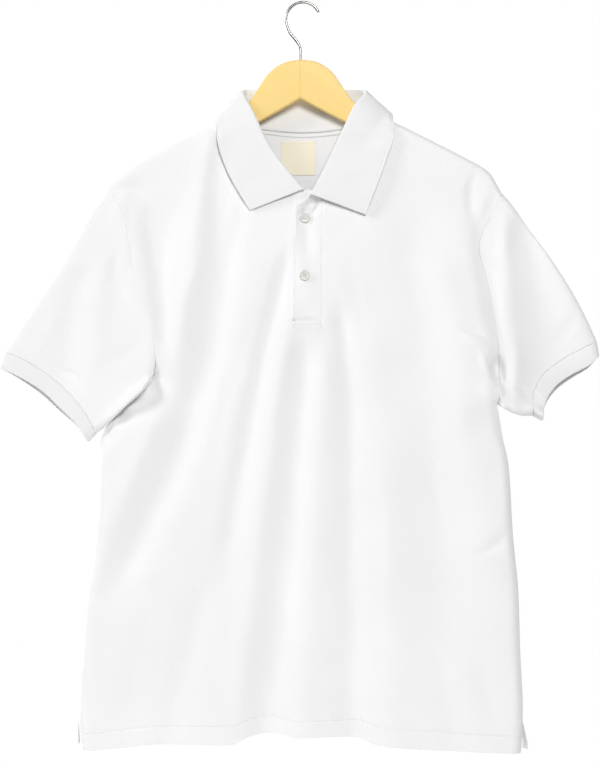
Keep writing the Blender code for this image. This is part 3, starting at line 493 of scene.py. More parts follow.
def smooth_curve(knots: Array, values: Array, at: Array) -> Array:
    """Values on a smooth curve through the knots that never overshoots.

    Each piece is a cubic with the ends' slopes, and a knot's slope is the harmonic mean of the
    rises on its two sides, or none where they differ in sign.

    Args:
        knots: rising places of the knots.
        values: value at each knot.
        at: places asked for, of any shape.

    Returns:
        One value for each place.
    """
    knots, values = np.asarray(knots, float), np.asarray(values, float)
    at = np.clip(np.asarray(at, float), knots[0], knots[-1])
    step = np.diff(knots)
    rise = np.diff(values) / step
    slope = np.concatenate([rise[:1], np.zeros(len(rise) - 1), rise[-1:]])
    same_way = rise[1:] * rise[:-1] > 0
    mean = 2 * rise[1:] * rise[:-1] / np.where(same_way, rise[1:] + rise[:-1], 1.0)
    slope[1:-1] = np.where(same_way, mean, 0.0)
    piece = np.clip(np.searchsorted(knots, at, side="right") - 1, 0, len(step) - 1)
    t = (at - knots[piece]) / step[piece]
    return (
        (1 + 2 * t) * (1 - t) ** 2 * values[piece]
        + t * (1 - t) ** 2 * step[piece] * slope[piece]
        + t * t * (3 - 2 * t) * values[piece + 1]
        + t * t * (t - 1) * step[piece] * slope[piece + 1]
    )


def passed(points: Array, axis: int = 0) -> Array:
    """Length passed at each point along one axis of a grid of points.

    Args:
        points: a grid whose last axis holds coordinates.
        axis: the axis along which the lengths add up.

    Returns:
        The grid's lengths, with 0 at its start.
    """
    steps = np.linalg.norm(np.diff(points, axis=axis), axis=-1)
    return np.concatenate([np.zeros_like(np.take(steps, [0], axis)), np.cumsum(steps, axis)], axis)


def along(line: Array, share: Array) -> Array:
    """Points at shares of the length of a smooth line through a table's x and drop.

    Args:
        line: a table with the columns x and drop.
        share: shares of the line's length.

    Returns:
        x and drop on the last axis.
    """
    length = passed(np.stack([line["x"], line["drop"]], axis=1))
    places = length / length[-1]
    return np.stack([smooth_curve(places, line[part], share) for part in ("x", "drop")], axis=-1)


def unit(vectors: Array) -> Array:
    """The vectors at length one."""
    return vectors / np.maximum(np.linalg.norm(vectors, axis=-1, keepdims=True), 1e-9)


def soft_step(value: Array) -> Array:
    """A smooth step from 0 to 1: three squares less two cubes."""
    value = np.clip(value, 0.0, 1.0)
    return value * value * (3 - 2 * value)


def roll(share: Array) -> Array:
    """How far a turned edge has come forward, on a rounded quarter curve from 0 to 1."""
    share = np.clip(share, 0.0, 1.0)
    return (1 - (1 - share) ** ROLL_POWER) ** (1 / ROLL_POWER)


def roll_shares() -> Array:
    """Shares of a roll's width, close together at the edge: 1 less a power of a cosine."""
    turns = np.radians(np.linspace(0, 90, ROLL_STEPS))
    return 1 - np.clip(np.cos(turns), 0, 1) ** (2 / ROLL_POWER)


def swells(x: Array, drop: Array) -> Array:
    """Sum of slow sine waves over the front view, each along its own way."""
    total = np.zeros_like(x)
    for wave in SWELLS:
        turn = math.radians(wave["turn"])
        run = x * math.cos(turn) + drop * math.sin(turn)
        total += wave["height"] * np.sin(run * 2 * math.pi / wave["length"] + wave["start"])
    return total


def fold_depth(folds: Array, x: Array, drop: Array) -> Array:
    """Sum of long folds: each a bell across a curve through three points, eased at its ends."""
    total = np.zeros_like(x)
    for fold in folds:
        knots = [fold["drop0"], fold["drop1"], fold["drop2"]]
        middle = smooth_curve(knots, [fold["x0"], fold["x1"], fold["x2"]], drop)
        start = soft_step((drop - knots[0]) / FOLD_END)
        end = soft_step((knots[2] + FOLD_END - drop) / (2 * FOLD_END))
        width = np.interp(drop, [knots[0], knots[2]], [fold["wide_top"], fold["wide_foot"]])
        total += fold["depth"] * start * end * np.exp(-(((x - middle) / width) ** 2))
    return total


def pit_depth(pits: Array, x: Array, drop: Array) -> Array:
    """Sum of rounded hollows: each a bell of the distance from its middle."""
    total = np.zeros_like(x)
    for pit in pits:
        away = ((x - pit["x"]) / pit["wide"]) ** 2 + ((drop - pit["drop"]) / pit["tall"]) ** 2
        total += pit["depth"] * np.exp(-away)
    return total


def crease_depth(creases: Array, x: Array, drop: Array) -> Array:
    """Sum of short creases: each a bell across a bent line, fading along its length."""
    total = np.zeros_like(x)
    for crease in creases:
        turn = math.radians(crease["turn"])
        over, down = x - crease["x"], drop - crease["drop"]
        run = (over * math.cos(turn) + down * math.sin(turn)) / crease["long"]
        across = down * math.cos(turn) - over * math.sin(turn) - crease["bend"] * run**2
        total += crease["depth"] * np.exp(-(run**2) - (across / crease["wide"]) ** 2)
    return total


def shoulder_line(x: Array) -> Array:
    """Drop of the shoulders at each x. Between them the two lines go on towards the middle."""
    left, right = SHOULDER[End.LEFT], SHOULDER[End.RIGHT]
    on_left = smooth_curve(left["x"], left["drop"], x)
    on_right = smooth_curve(right["x"], right["drop"], x)
    inside_left = np.maximum(x - left["x"][-1], 0) * NECK_SLOPE
    inside_right = np.maximum(right["x"][0] - x, 0) * NECK_SLOPE
    return np.where(x < 0, on_left - inside_left, on_right - inside_right)


def normals_of(grid: Array, closed: bool = False) -> Array:
    """Unit normals of a grid of points: across times down, from neighbours' differences.

    Args:
        grid: rows by columns of points.
        closed: whether the last column joins the first.

    Returns:
        A grid of unit vectors.
    """
    down = np.gradient(grid, axis=0)
    if closed:
        across = (np.roll(grid, -1, axis=1) - np.roll(grid, 1, axis=1)) / 2
    else:
        across = np.gradient(grid, axis=1)
    return unit(np.cross(across, down))


def boundary(kept: Array, closed: bool) -> tuple[Array, Array]:
    """Corner places of the edges that only one kept cell has, in that cell's own order.

    Args:
        kept: which cells of the grid are used.
        closed: whether the last column joins the first.

    Returns:
        Two arrays of row and column, for the starts and the ends of the edges.
    """
    above = np.zeros_like(kept)
    above[1:] = kept[:-1]
    below = np.zeros_like(kept)
    below[:-1] = kept[1:]
    before, after = np.roll(kept, 1, axis=1), np.roll(kept, -1, axis=1)
    if not closed:
        before[:, 0] = False
        after[:, -1] = False
    starts, ends = [], []
    for mask, start, end in (
        (kept & ~above, (0, 0), (0, 1)),
        (kept & ~after, (0, 1), (1, 1)),
        (kept & ~below, (1, 1), (1, 0)),
        (kept & ~before, (1, 0), (0, 0)),
    ):
        cells = np.argwhere(mask)
        starts.append(cells + start)
        ends.append(cells + end)
    return np.concatenate(starts), np.concatenate(ends)


@dataclass
class ClothGrid:
    """A grid of points over the outer face of a piece of cloth, and its wall.

    The wall narrows at the piece's borders on a quarter circle, so that its edges are round, and
    keeps at least a share of its thickness there.
    """

    points: Array
    wall: float | Array
    outward: Array
    closed: bool = False
    kept: Array | None = None
    edge_share: float = 0.1
    normals: Array = field(init=False)

    def __post_init__(self) -> None:
        """Finds the normals and turns them to the outer side."""
        self.normals = normals_of(self.points, self.closed)
        if float((self.normals * self.outward).sum(-1).mean()) < 0:
            self.normals = -self.normals

    def border_distance(self) -> Array:
        """Distance of each point from the nearest border, along its row or its column."""
        down = passed(self.points, 0)
        nearest = np.minimum(down, down[-1:] - down)
        if not self.closed:
            over = passed(self.points, 1)
            nearest = np.minimum(nearest, np.minimum(over, over[:, -1:] - over))
        return nearest

    def layers(self) -> tuple[Array, Array]:
        """Outer and inner points: the middle of the wall, moved out and in by its half."""
        half = self.wall / 2
        near = 1 - np.clip(self.border_distance() / half, 0, 1)
        thick = (half * np.maximum(np.sqrt(1 - near**2), self.edge_share))[..., None]
        middle = self.points - self.normals * np.reshape(half, np.shape(half) + (1,))
        return middle + self.normals * thick, middle - self.normals * thick

    def flat_places(self) -> Array:
        """Lengths across and down in metres, which a weave follows, with a column to spare."""
        if self.closed:
            wide = np.concatenate([self.points, self.points[:, :1]], axis=1)
        else:
            wide = self.points
        across = passed(wide, 1)
        across = across - across[:, across.shape[1] // 2][:, None]
        down = passed(wide, 0)
        return np.stack([across, down], axis=-1) * MM

    def at(self, rows: Array, columns: Array, lift: float = 0.0) -> tuple[Array, Array]:
        """Points and normals between the grid's points, by weighing the four round each place.

        Args:
            rows: places in rows, with parts.
            columns: places in columns, with parts.
            lift: distance out from the face.

        Returns:
            The points and the unit normals.
        """
        r = np.clip(rows, 0, self.points.shape[0] - 1.001)
        c = np.clip(columns, 0, self.points.shape[1] - 1.001)
        i, j = r.astype(int), c.astype(int)
        a, b = (r - i)[:, None], (c - j)[:, None]
        found = []
        for grid in (self.points, self.normals):
            upper = grid[i, j] * (1 - b) + grid[i, j + 1] * b
            lower = grid[i + 1, j] * (1 - b) + grid[i + 1, j + 1] * b
            found.append(upper * (1 - a) + lower * a)
        normals = unit(found[1])
        return found[0] + normals * lift, normals

    def object(self, name: str) -> bpy.types.Object:
        """The closed shell as an object, with a map of flat lengths for its weave."""
        outer, inner = self.layers()
        rows, columns = self.points.shape[:2]
        cells = columns if self.closed else columns - 1
        kept = np.ones((rows - 1, cells), bool) if self.kept is None else self.kept
        i, j = np.nonzero(kept)
        corners = np.stack(
            [np.stack([i, j], 1), np.stack([i, j + 1], 1), np.stack([i + 1, j + 1], 1),
             np.stack([i + 1, j], 1)],
            axis=1,
        )
        starts, ends = boundary(kept, self.closed)
        layer = rows * columns
        ring = np.stack([ends, starts, starts, ends], axis=1)
        places = np.concatenate([corners, corners[:, ::-1], ring])
        lower = np.concatenate(
            [np.zeros((len(corners), 4), int), np.ones((len(corners), 4), int),
             np.tile([0, 0, 1, 1], (len(ring), 1))]
        )
        index = places[..., 0] * columns + places[..., 1] % columns + lower * layer
        flat = self.flat_places()[places[..., 0], places[..., 1]]
        points = np.concatenate([outer.reshape(-1, 3), inner.reshape(-1, 3)])
        first = corners[len(corners) // 2]
        a, b, c = (outer[tuple(first[k] % [rows, columns])] for k in (0, 1, 3))
        middle = self.normals[tuple(first[0])]
        if float(np.dot(np.cross(b - a, c - a), middle)) < 0:
            index, flat = index[:, ::-1], flat[:, ::-1]
        return mesh_object(name, points, index, flat)


def mesh_object(
    name: str, points: Array, faces: Array, flat: Array | None = None
) -> bpy.types.Object:
    """An object of four-sided faces from points in millimetres.

    Args:
        name: the object's name.
        points: one row for each point, and those that no face uses are left out.
        faces: four point numbers for each face.
        flat: places on a flat map for each corner of each face.

    Returns:
        The new object, smooth shaded and in the scene.
    """
    used, index = np.unique(faces, return_inverse=True)
    mesh = bpy.data.meshes.new(name)
    mesh.from_pydata((points[used] * MM).tolist(), [], index.reshape(faces.shape).tolist())
    if flat is not None:
        mesh.uv_layers.new(name="flat").uv.foreach_set("vector", flat.reshape(-1, 2).ravel())
    mesh.shade_smooth()
    made = bpy.data.objects.new(name, mesh)
    bpy.context.scene.collection.objects.link(made)
    return made


def tube_faces(rings: int, around: int) -> Array:
    """Four-sided faces between the rings of a tube, with the points numbered ring by ring."""
    i, j = np.meshgrid(np.arange(rings - 1), np.arange(around), indexing="ij")
    k = (j + 1) % around
    faces = np.stack([i * around + j, i * around + k, (i + 1) * around + k, (i + 1) * around + j])
    return faces.reshape(4, -1).T


def linear(hex_colour: str) -> tuple[float, float, float, float]:
    """An sRGB hex colour as linear light.

    Args:
        hex_colour: six hex digits after a hash.

    Returns:
        Red, green, blue and an alpha of one.
    """
    parts = [int(hex_colour[k : k + 2], 16) / 255 for k in (1, 3, 5)]
    values = [p / 12.92 if p <= 0.04045 else ((p + 0.055) / 1.055) ** 2.4 for p in parts]
    return values[0], values[1], values[2], 1.0


def add_node(
    tree: bpy.types.NodeTree,
    kind: str,
    settings: dict[str, object] | None = None,
    links: dict[str | int, bpy.types.NodeSocket] | None = None,
) -> bpy.types.Node:
    """Adds a node with its settings and links.

    Args:
        tree: the material's node tree.
        kind: Blender's name of the node.
        settings: values by the name of a property, or else of an input.
        links: output sockets by the name or number of the input that each feeds.

    Returns:
        The new node.
    """
    node = tree.nodes.new(kind)
    for name, value in (settings or {}).items():
        if hasattr(node, name):
            setattr(node, name, value)
        else:
            node.inputs[name].default_value = value
    for place, socket in (links or {}).items():
        tree.links.new(socket, node.inputs[place])
    return node


def new_material(name: str) -> tuple[bpy.types.Material, bpy.types.NodeTree]:
    """A fresh material and its node tree."""
    made = bpy.data.materials.new(name)
    made.use_nodes = True
    return made, made.node_tree


def texture(
    tree: bpy.types.NodeTree,
    kind: str,
    place: bpy.types.NodeSocket,
    size_mm: float,
    cycle: float = 1.0,
    **settings: object,
) -> bpy.types.Node:
    """Adds a procedural texture.

    Args:
        tree: the material's node tree.
        kind: the kind of texture, as its node's name ends.
        place: where the texture is read.
        size_mm: length of one of its cells or waves.
        cycle: that length at a scale of one.
        settings: its other values.

    Returns:
        The texture's node.
    """
    values = dict(settings, Scale=cycle / (size_mm * MM))
    return add_node(tree, "ShaderNodeTex" + kind, values, {"Vector": place})


def weighed_sum(
    tree: bpy.types.NodeTree, value: bpy.types.NodeSocket, weight: float, rest: bpy.types.NodeSocket
) -> bpy.types.NodeSocket:
    """A value times its weight, plus the rest."""
    node = add_node(tree, "ShaderNodeMath", dict(operation="MULTIPLY_ADD"), {0: value, 2: rest})
    node.inputs[1].default_value = weight
    return node.outputs[0]


def stretched(
    tree: bpy.types.NodeTree, place: bpy.types.NodeSocket, scale: tuple[float, float, float]
) -> bpy.types.NodeSocket:
    """Places scaled along each axis, so that a texture is drawn out."""
    node = add_node(tree, "ShaderNodeMapping", dict(Scale=scale), {"Vector": place})
    return node.outputs["Vector"]


def finish_shader(
    made: bpy.types.Material,
    colours: tuple[str, str],
    tone: bpy.types.NodeSocket,
    surface: dict[str, float],
    bump: dict[str, object] | None = None,
    height: bpy.types.NodeSocket | None = None,
) -> bpy.types.Material:
    """Gives a material its colour, its plain surface values and its fine relief.

    Args:
        made: the material.
        colours: the hex colours at a tone of 0 and of 1.
        tone: the share between the colours.
        surface: values by the name of the shader's input.
        bump: settings of the relief, or None for a smooth finish.
        height: height of the relief, or None where it follows the tone.

    Returns:
        The same material.
    """
    tree = made.node_tree
    shader = tree.nodes["Principled BSDF"]
    ramp = add_node(tree, "ShaderNodeValToRGB", links={"Fac": tone})
    for element, colour in zip(ramp.color_ramp.elements, colours):
        element.color = linear(colour)
    tree.links.new(ramp.outputs["Color"], shader.inputs["Base Color"])
    if bump is not None:
        rise = tone if height is None else height
        relief = add_node(tree, "ShaderNodeBump", bump, {"Height": rise})
        tree.links.new(relief.outputs["Normal"], shader.inputs["Normal"])
    for name, value in surface.items():
        shader.inputs[name].default_value = value
    return made


@dataclass(frozen=True)
class PiqueKnit:
    """Cotton pique: a honeycomb of small raised cells, matte, with soft fuzz.

    The real cells are about 1.3 mm apart, too fine for the picture, so they are drawn at 2.2 mm.
    Their sunken borders and the fibre's dips are painted darker: painted shade in the recesses.
    """

    name: str = "pique knit cotton"
    light: str = "#F5F5F5"
    shade: str = "#EDEDEE"
    cell_mm: float = 2.2
    unevenness: float = 0.22
    fibre_mm: float = 0.5
    fibre_share: float = 0.35
    tone_mm: float = 160.0
    # How much darker the sunken borders between the cells are painted: painted shade
    recess_shade: float = -0.45
    bump: float = 0.5
    relief_mm: float = 0.22
    roughness: float = 0.92
    sheen: float = 0.25

    def build(self) -> bpy.types.Material:
        """The material: cells by nearest-point distance, with fibre noise, slow tone and painted
        shade.
        """
        made, tree = new_material(self.name)
        place = add_node(tree, "ShaderNodeTexCoord").outputs
        cells = texture(
            tree, "Voronoi", place["UV"], self.cell_mm,
            voronoi_dimensions="2D", Randomness=self.unevenness,
        )
        fibre = texture(tree, "Noise", place["UV"], self.fibre_mm, Detail=3.0)
        tone = texture(tree, "Noise", place["Object"], self.tone_mm, Detail=2.0)
        rise = weighed_sum(tree, fibre.outputs["Fac"], self.fibre_share, cells.outputs["Distance"])
        # The colour darkens where the relief sinks between the cells: painted shade in the
        # recesses.
        mixed = weighed_sum(tree, rise, self.recess_shade, tone.outputs["Fac"])
        return finish_shader(
            made, (self.shade, self.light), mixed,
            {"Roughness": self.roughness, "Sheen Weight": self.sheen},
            dict(Strength=self.bump, Distance=self.relief_mm * MM, invert=True), rise,
        )


@dataclass(frozen=True)
class RibKnit:
    """Flat-knit cotton rib: fine raised ribs across the band, a little denser than the body.

    Real ribs are about 1.2 mm apart. They are drawn at 2.4 mm, to show in the picture.
    Their tops are painted lighter and the grooves between them darker: painted highlight and shade.
    """

    name: str = "flat knit cotton rib"
    light: str = "#EDEDED"
    shade: str = "#E8E8E9"
    rib_mm: float = 2.4
    course_mm: float = 1.4
    course_share: float = 0.3
    bump: float = 0.4
    relief_mm: float = 0.1
    roughness: float = 0.9
    sheen: float = 0.2

    def build(self) -> bpy.types.Material:
        """The material: one wave for the ribs and a weaker one for the rows of loops."""
        made, tree = new_material(self.name)
        uv = add_node(tree, "ShaderNodeTexCoord").outputs["UV"]
        ribs = texture(
            tree, "Wave", uv, self.rib_mm, STRAIGHT_WAVE,
            bands_direction="X", Distortion=0.4, **{"Detail Scale": 0.5},
        )
        courses = texture(
            tree, "Wave", uv, self.course_mm, STRAIGHT_WAVE, bands_direction="Y", Distortion=0.6
        )
        rise = weighed_sum(tree, courses.outputs["Fac"], self.course_share, ribs.outputs["Fac"])
        # The colour follows the height of the ribs and loops: painted highlight on the tops,
        # painted shade in the grooves.
        return finish_shader(
            made, (self.shade, self.light), rise,
            {"Roughness": self.roughness, "Sheen Weight": self.sheen},
            dict(Strength=self.bump, Distance=self.relief_mm * MM),
        )


@dataclass(frozen=True)
class WovenBand:
    """A narrow woven piece, with slanting twill or satin lines: a faint relief, and painted
    highlight and shade along them.
    """

    name: str
    light: str
    shade: str
    line_mm: float
    roughness: float
    sheen: float = 0.1
    bump: float = 0.2
    relief_mm: float = 0.05

    def build(self) -> bpy.types.Material:
        """The material: one slanting wave, a little distorted."""
        made, tree = new_material(self.name)
        uv = add_node(tree, "ShaderNodeTexCoord").outputs["UV"]
        lines = texture(
            tree, "Wave", uv, self.line_mm, SLANTED_WAVE,
            bands_direction="DIAGONAL", Distortion=0.8,
        )
        # The colour follows the wave: painted highlight on the lines and painted shade between
        # them.
        return finish_shader(
            made, (self.shade, self.light), lines.outputs["Fac"],
            {"Roughness": self.roughness, "Sheen Weight": self.sheen},
            dict(Strength=self.bump, Distance=self.relief_mm * MM),
        )


@dataclass(frozen=True)
class CottonThread:
    """Twisted sewing cotton: off-white, with a slight lustre and a fine slanting ply."""

    name: str = "sewing cotton"
    light: str = "#F1F1F0"
    shade: str = "#CFCFD2"
    ply_mm: float = 0.6
    roughness: float = 0.6

    def build(self) -> bpy.types.Material:
        """The material: a wave over the place in the object paints the ply's grooves darker, as
        painted shade.
        """
        made, tree = new_material(self.name)
        place = add_node(tree, "ShaderNodeTexCoord").outputs["Object"]
        # The ply shows only by this wave of colour: painted shade in its grooves.
        ply = texture(tree, "Wave", place, self.ply_mm, SLANTED_WAVE, bands_direction="DIAGONAL")
        colours = (self.shade, self.light)
        return finish_shader(made, colours, ply.outputs["Fac"], {"Roughness": self.roughness})


@dataclass(frozen=True)
class MouldedResin:
    """Cast polyester button resin: pearly off-white with faint clouds, polished."""

    name: str = "cast button resin"
    light: str = "#E9E7E2"
    shade: str = "#CDCAC4"
    cloud_mm: float = 3.0
    bump: float = 0.05
    relief_mm: float = 0.1
    roughness: float = 0.36
    coat: float = 0.1

    def build(self) -> bpy.types.Material:
        """The material: clouds by noise in the colour, and a faint ripple that follows them."""
        made, tree = new_material(self.name)
        place = add_node(tree, "ShaderNodeTexCoord").outputs["Object"]
        clouds = texture(tree, "Noise", place, self.cloud_mm, Detail=3.0, Distortion=1.2)
        return finish_shader(
            made, (self.shade, self.light), clouds.outputs["Fac"],
            {"Roughness": self.roughness, "Coat Weight": self.coat},
            dict(Strength=self.bump, Distance=self.relief_mm * MM),
        )


@dataclass(frozen=True)
class LacqueredWood:
    """Pale lacquered maple: straight grain along each arm, yellowed lacquer, satin gloss."""

    name: str = "lacquered maple"
    light: str = "#F7D98B"
    shade: str = "#F2D07F"
    grain_mm: float = 2.6
    stretch: float = 0.05
    bump: float = 0.12
    relief_mm: float = 0.1
    roughness: float = 0.62
    coat: float = 0.03

    def build(self) -> bpy.types.Material:
        """The material: noise drawn out along the arm for grain."""
        made, tree = new_material(self.name)
        uv = add_node(tree, "ShaderNodeTexCoord").outputs["UV"]
        place = stretched(tree, uv, (self.stretch, 1.0, 1.0))
        grain = texture(tree, "Noise", place, self.grain_mm, Detail=4.0, Distortion=0.6)
        return finish_shader(
            made, (self.shade, self.light), grain.outputs["Fac"],
            {"Roughness": self.roughness, "Coat Weight": self.coat},
            dict(Strength=self.bump, Distance=self.relief_mm * MM),
        )


@dataclass(frozen=True)
class ChromePlate:
    """Chrome on drawn steel wire, worn to a soft grey mirror with faint drawing lines."""

    name: str = "chrome plated wire"
    light: str = "#A09D9A"
    shade: str = "#918E8B"
    line_mm: float = 0.35
    stretch: float = 0.03
    bump: float = 0.015
    relief_mm: float = 0.03
    roughness: float = 0.24

    def build(self) -> bpy.types.Material:
        """The material: noise drawn out along the wire tints it and ripples it a little."""
        made, tree = new_material(self.name)
        uv = add_node(tree, "ShaderNodeTexCoord").outputs["UV"]
        place = stretched(tree, uv, (1.0, self.stretch, 1.0))
        lines = texture(tree, "Noise", place, self.line_mm, Detail=2.0)
        return finish_shader(
            made, (self.shade, self.light), lines.outputs["Fac"],
            {"Metallic": 1.0, "Roughness": self.roughness},
            dict(Strength=self.bump, Distance=self.relief_mm * MM),
        )


@dataclass(frozen=True)
class StudioPaper:
    """Matt white studio paper, for the floor."""

    name: str = "studio paper"
    colour: str = "#FAFAFA"

    def build(self) -> bpy.types.Material:
        """The material: plain matt white."""
        made, tree = new_material(self.name)
        shader = tree.nodes["Principled BSDF"]
        shader.inputs["Base Color"].default_value = linear(self.colour)
        shader.inputs["Roughness"].default_value = 1.0
        shader.inputs["Specular IOR Level"].default_value = 0.0
        return made


@dataclass
class Finishes:
    """Every material of the shirt and its hanger, made once."""

    pique: bpy.types.Material = field(default_factory=lambda: PiqueKnit().build())
    rib: bpy.types.Material = field(default_factory=lambda: RibKnit().build())
    twill: bpy.types.Material = field(
        default_factory=lambda: WovenBand("twill tape", "#F3F3F3", "#E9E9EA", 0.9, 0.8).build()
    )
    satin: bpy.types.Material = field(
        default_factory=lambda: WovenBand("satin label", "#FAF2DC", "#F3E9CF", 1.0, 0.6).build()
    )
    thread: bpy.types.Material = field(default_factory=lambda: CottonThread().build())
    resin: bpy.types.Material = field(default_factory=lambda: MouldedResin().build())
    maple: bpy.types.Material = field(default_factory=lambda: LacqueredWood().build())
    chrome: bpy.types.Material = field(default_factory=lambda: ChromePlate().build())


def dress(
    piece: bpy.types.Object, material: bpy.types.Material, slot: Slot, *nodes: str
) -> bpy.types.Object:
    """Gives a piece its material, fixes it to the body and hides the CAD nodes that it stands for.

    Args:
        piece: the new object.
        material: its finish.
        slot: the record's slot; not used.
        nodes: CAD nodes that the piece replaces.

    Returns:
        The same object.
    """
    piece.data.materials.append(material)
    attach(piece, "root")
    if nodes:
        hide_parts(*nodes)
    log.info("%s: %d faces", piece.name, len(piece.data.polygons))
    return piece


@dataclass(frozen=True)
class Stitches:
    """Rows of single sewn stitches: each a short thread that rises and dips again."""

    pitch: float = 3.4
    length: float = 2.6
    thread: float = 0.5
    rings: int = 5
    sides: int = 6
    rise: float = 0.45
    sink: float = 0.1
    taper: float = 0.8

    def lay(self, name: str, lines: list[tuple[Array, Array]]) -> bpy.types.Object:
        """One object with every stitch of some sewn lines.

        A stitch's middle line is straight, raised by one less the square of the way along it,
        and its thread narrows to its ends on a circle.

        Args:
            name: the object's name.
            lines: points and normals along each line, in millimetres.

        Returns:
            The new object.
        """
        way = np.linspace(-1, 1, self.rings)
        around = np.arange(self.sides) * 2 * math.pi / self.sides
        made = []
        for points, normals in lines:
            run = passed(points)
            count = max(int(run[-1] / self.pitch), 1)
            middles = (np.arange(count) + 0.5) * run[-1] / count
            tips = [middles - self.length / 2, middles + self.length / 2]
            start, end = (
                np.stack([np.interp(tip, run, points[:, k]) for k in range(3)], 1) for tip in tips
            )
            up = unit(np.stack([np.interp(middles, run, normals[:, k]) for k in range(3)], 1))
            over = unit(np.cross(end - start, up))
            centre = (start + end)[:, None] / 2 + (end - start)[:, None] / 2 * way[None, :, None]
            height = self.thread * (self.rise * (1 - way**2) - self.sink)
            centre = centre + up[:, None] * height[None, :, None]
            radius = self.thread / 2 * np.sqrt(1 - self.taper * way**2)
            ring = (
                over[:, None, None] * np.cos(around)[None, None, :, None]
                + up[:, None, None] * np.sin(around)[None, None, :, None]
            )
            made.append(centre[:, :, None] + ring * radius[None, :, None, None])
        threads = np.concatenate(made)
        one = tube_faces(self.rings, self.sides)
        faces = one[None] + (np.arange(len(threads)) * self.rings * self.sides)[:, None, None]
        rows = mesh_object(name, threads.reshape(-1, 3), faces.reshape(-1, 4)[:, ::-1])
        close_ends(rows)
        return rows


def close_ends(piece: bpy.types.Object) -> None:
    """Fills the open rings at the ends of a mesh's tubes and turns its faces out."""
    work = bmesh.new()
    work.from_mesh(piece.data)
    rims = [edge for edge in work.edges if edge.is_boundary]
    bmesh.ops.holes_fill(work, edges=rims, sides=0)
    bmesh.ops.recalc_face_normals(work, faces=work.faces)
    work.to_mesh(piece.data)
    work.free()
    piece.data.shade_smooth()


@dataclass(frozen=True)
class BodyForm:
    """How far the front or the back of the body stands from the middle plane."""

    side: Side
    column: str
    folds: Array
    pits: Array
    creases: Array
    wells: Array

    def reach(self, x: Array, drop: Array) -> Array:
        """Distance from the middle plane: the reach less folds, creases, swells and wells."""
        flat = smooth_curve(REACH["drop"], REACH[self.column], drop)
        deep = flat - fold_depth(self.folds, x, drop) - pit_depth(self.pits, x, drop)
        eased = LEAST_REACH + REACH_EASE * np.logaddexp(0.0, (deep - LEAST_REACH) / REACH_EASE)
        free = soft_step((drop - SWELLS_FROM) / SWELLS_OVER)
        fine = crease_depth(self.creases, x, drop) + swells(x, drop) * free
        eased = eased - np.minimum(fine, eased - LEAST_REACH + CREASE_ROOM)
        return eased * (1 - np.minimum(pit_depth(self.wells, x, drop), WELL_LIMIT))

    def depth(self, x: Array, drop: Array) -> Array:
        """y of the outer face at places in the front view, with the roll at the shoulders."""
        x, drop = np.broadcast_arrays(np.asarray(x, float), np.asarray(drop, float))
        below = (drop - shoulder_line(x)) / SHOULDER_ROLL
        return self.side.value * np.maximum(self.reach(x, drop) * roll(below), LEAST_EDGE)

    def edge(self, end: End, share: Array) -> Array:
        """Points of the armhole's edge at shares of its length, from shoulder to foot.

        Args:
            end: which armhole.
            share: shares of its length.

        Returns:
            One point for each share.
        """
        hole = ARMHOLE[end]
        drop = np.linspace(hole["drop"][0], hole["drop"][-1], EDGE_SAMPLES)
        x = smooth_curve(hole["drop"], hole["x"], drop)
        turned = roll((drop - drop[0]) / SHOULDER_ROLL) * openness(end, drop)
        y = self.side.value * np.maximum(self.reach(x, drop) * turned, LEAST_EDGE)
        points = np.stack([x, y, -drop], 1)
        run = passed(points)
        return np.stack([np.interp(share * run[-1], run, points[:, k]) for k in range(3)], 1)


def openness(end: End, drop: Array) -> Array:
    """0 where the side turns in to its seam, 1 along the armhole, a little along the vent."""
    arm = roll((ARMHOLE[end]["drop"][-1] - drop) / ARM_FOOT_TURN)
    vent = VENT_SPREAD * soft_step((drop - VENT_DROP) / VENT_EASE)
    return np.maximum(arm, vent)


def side_line(end: End, drop: Array) -> Array:
    """x of the body's outer edge at each drop: the armhole, and below it the side seam."""
    hole, seam = ARMHOLE[end], SIDE_SEAM[end]
    upper = smooth_curve(hole["drop"], hole["x"], drop)
    lower = smooth_curve(seam["drop"], seam["x"], drop)
    return np.where(drop <= hole["drop"][-1], upper, lower)


def slit_shares(neck: Array) -> Array:
    """Shares of the neck edge at the two sides of the slit."""
    fine = np.linspace(0, 1, LINE_SAMPLES)
    x = along(neck, fine)[:, 0]
    return np.array([fine[np.argmin(abs(x - side))] for side in (PLACKET_LEFT, PLACKET_RIGHT)])


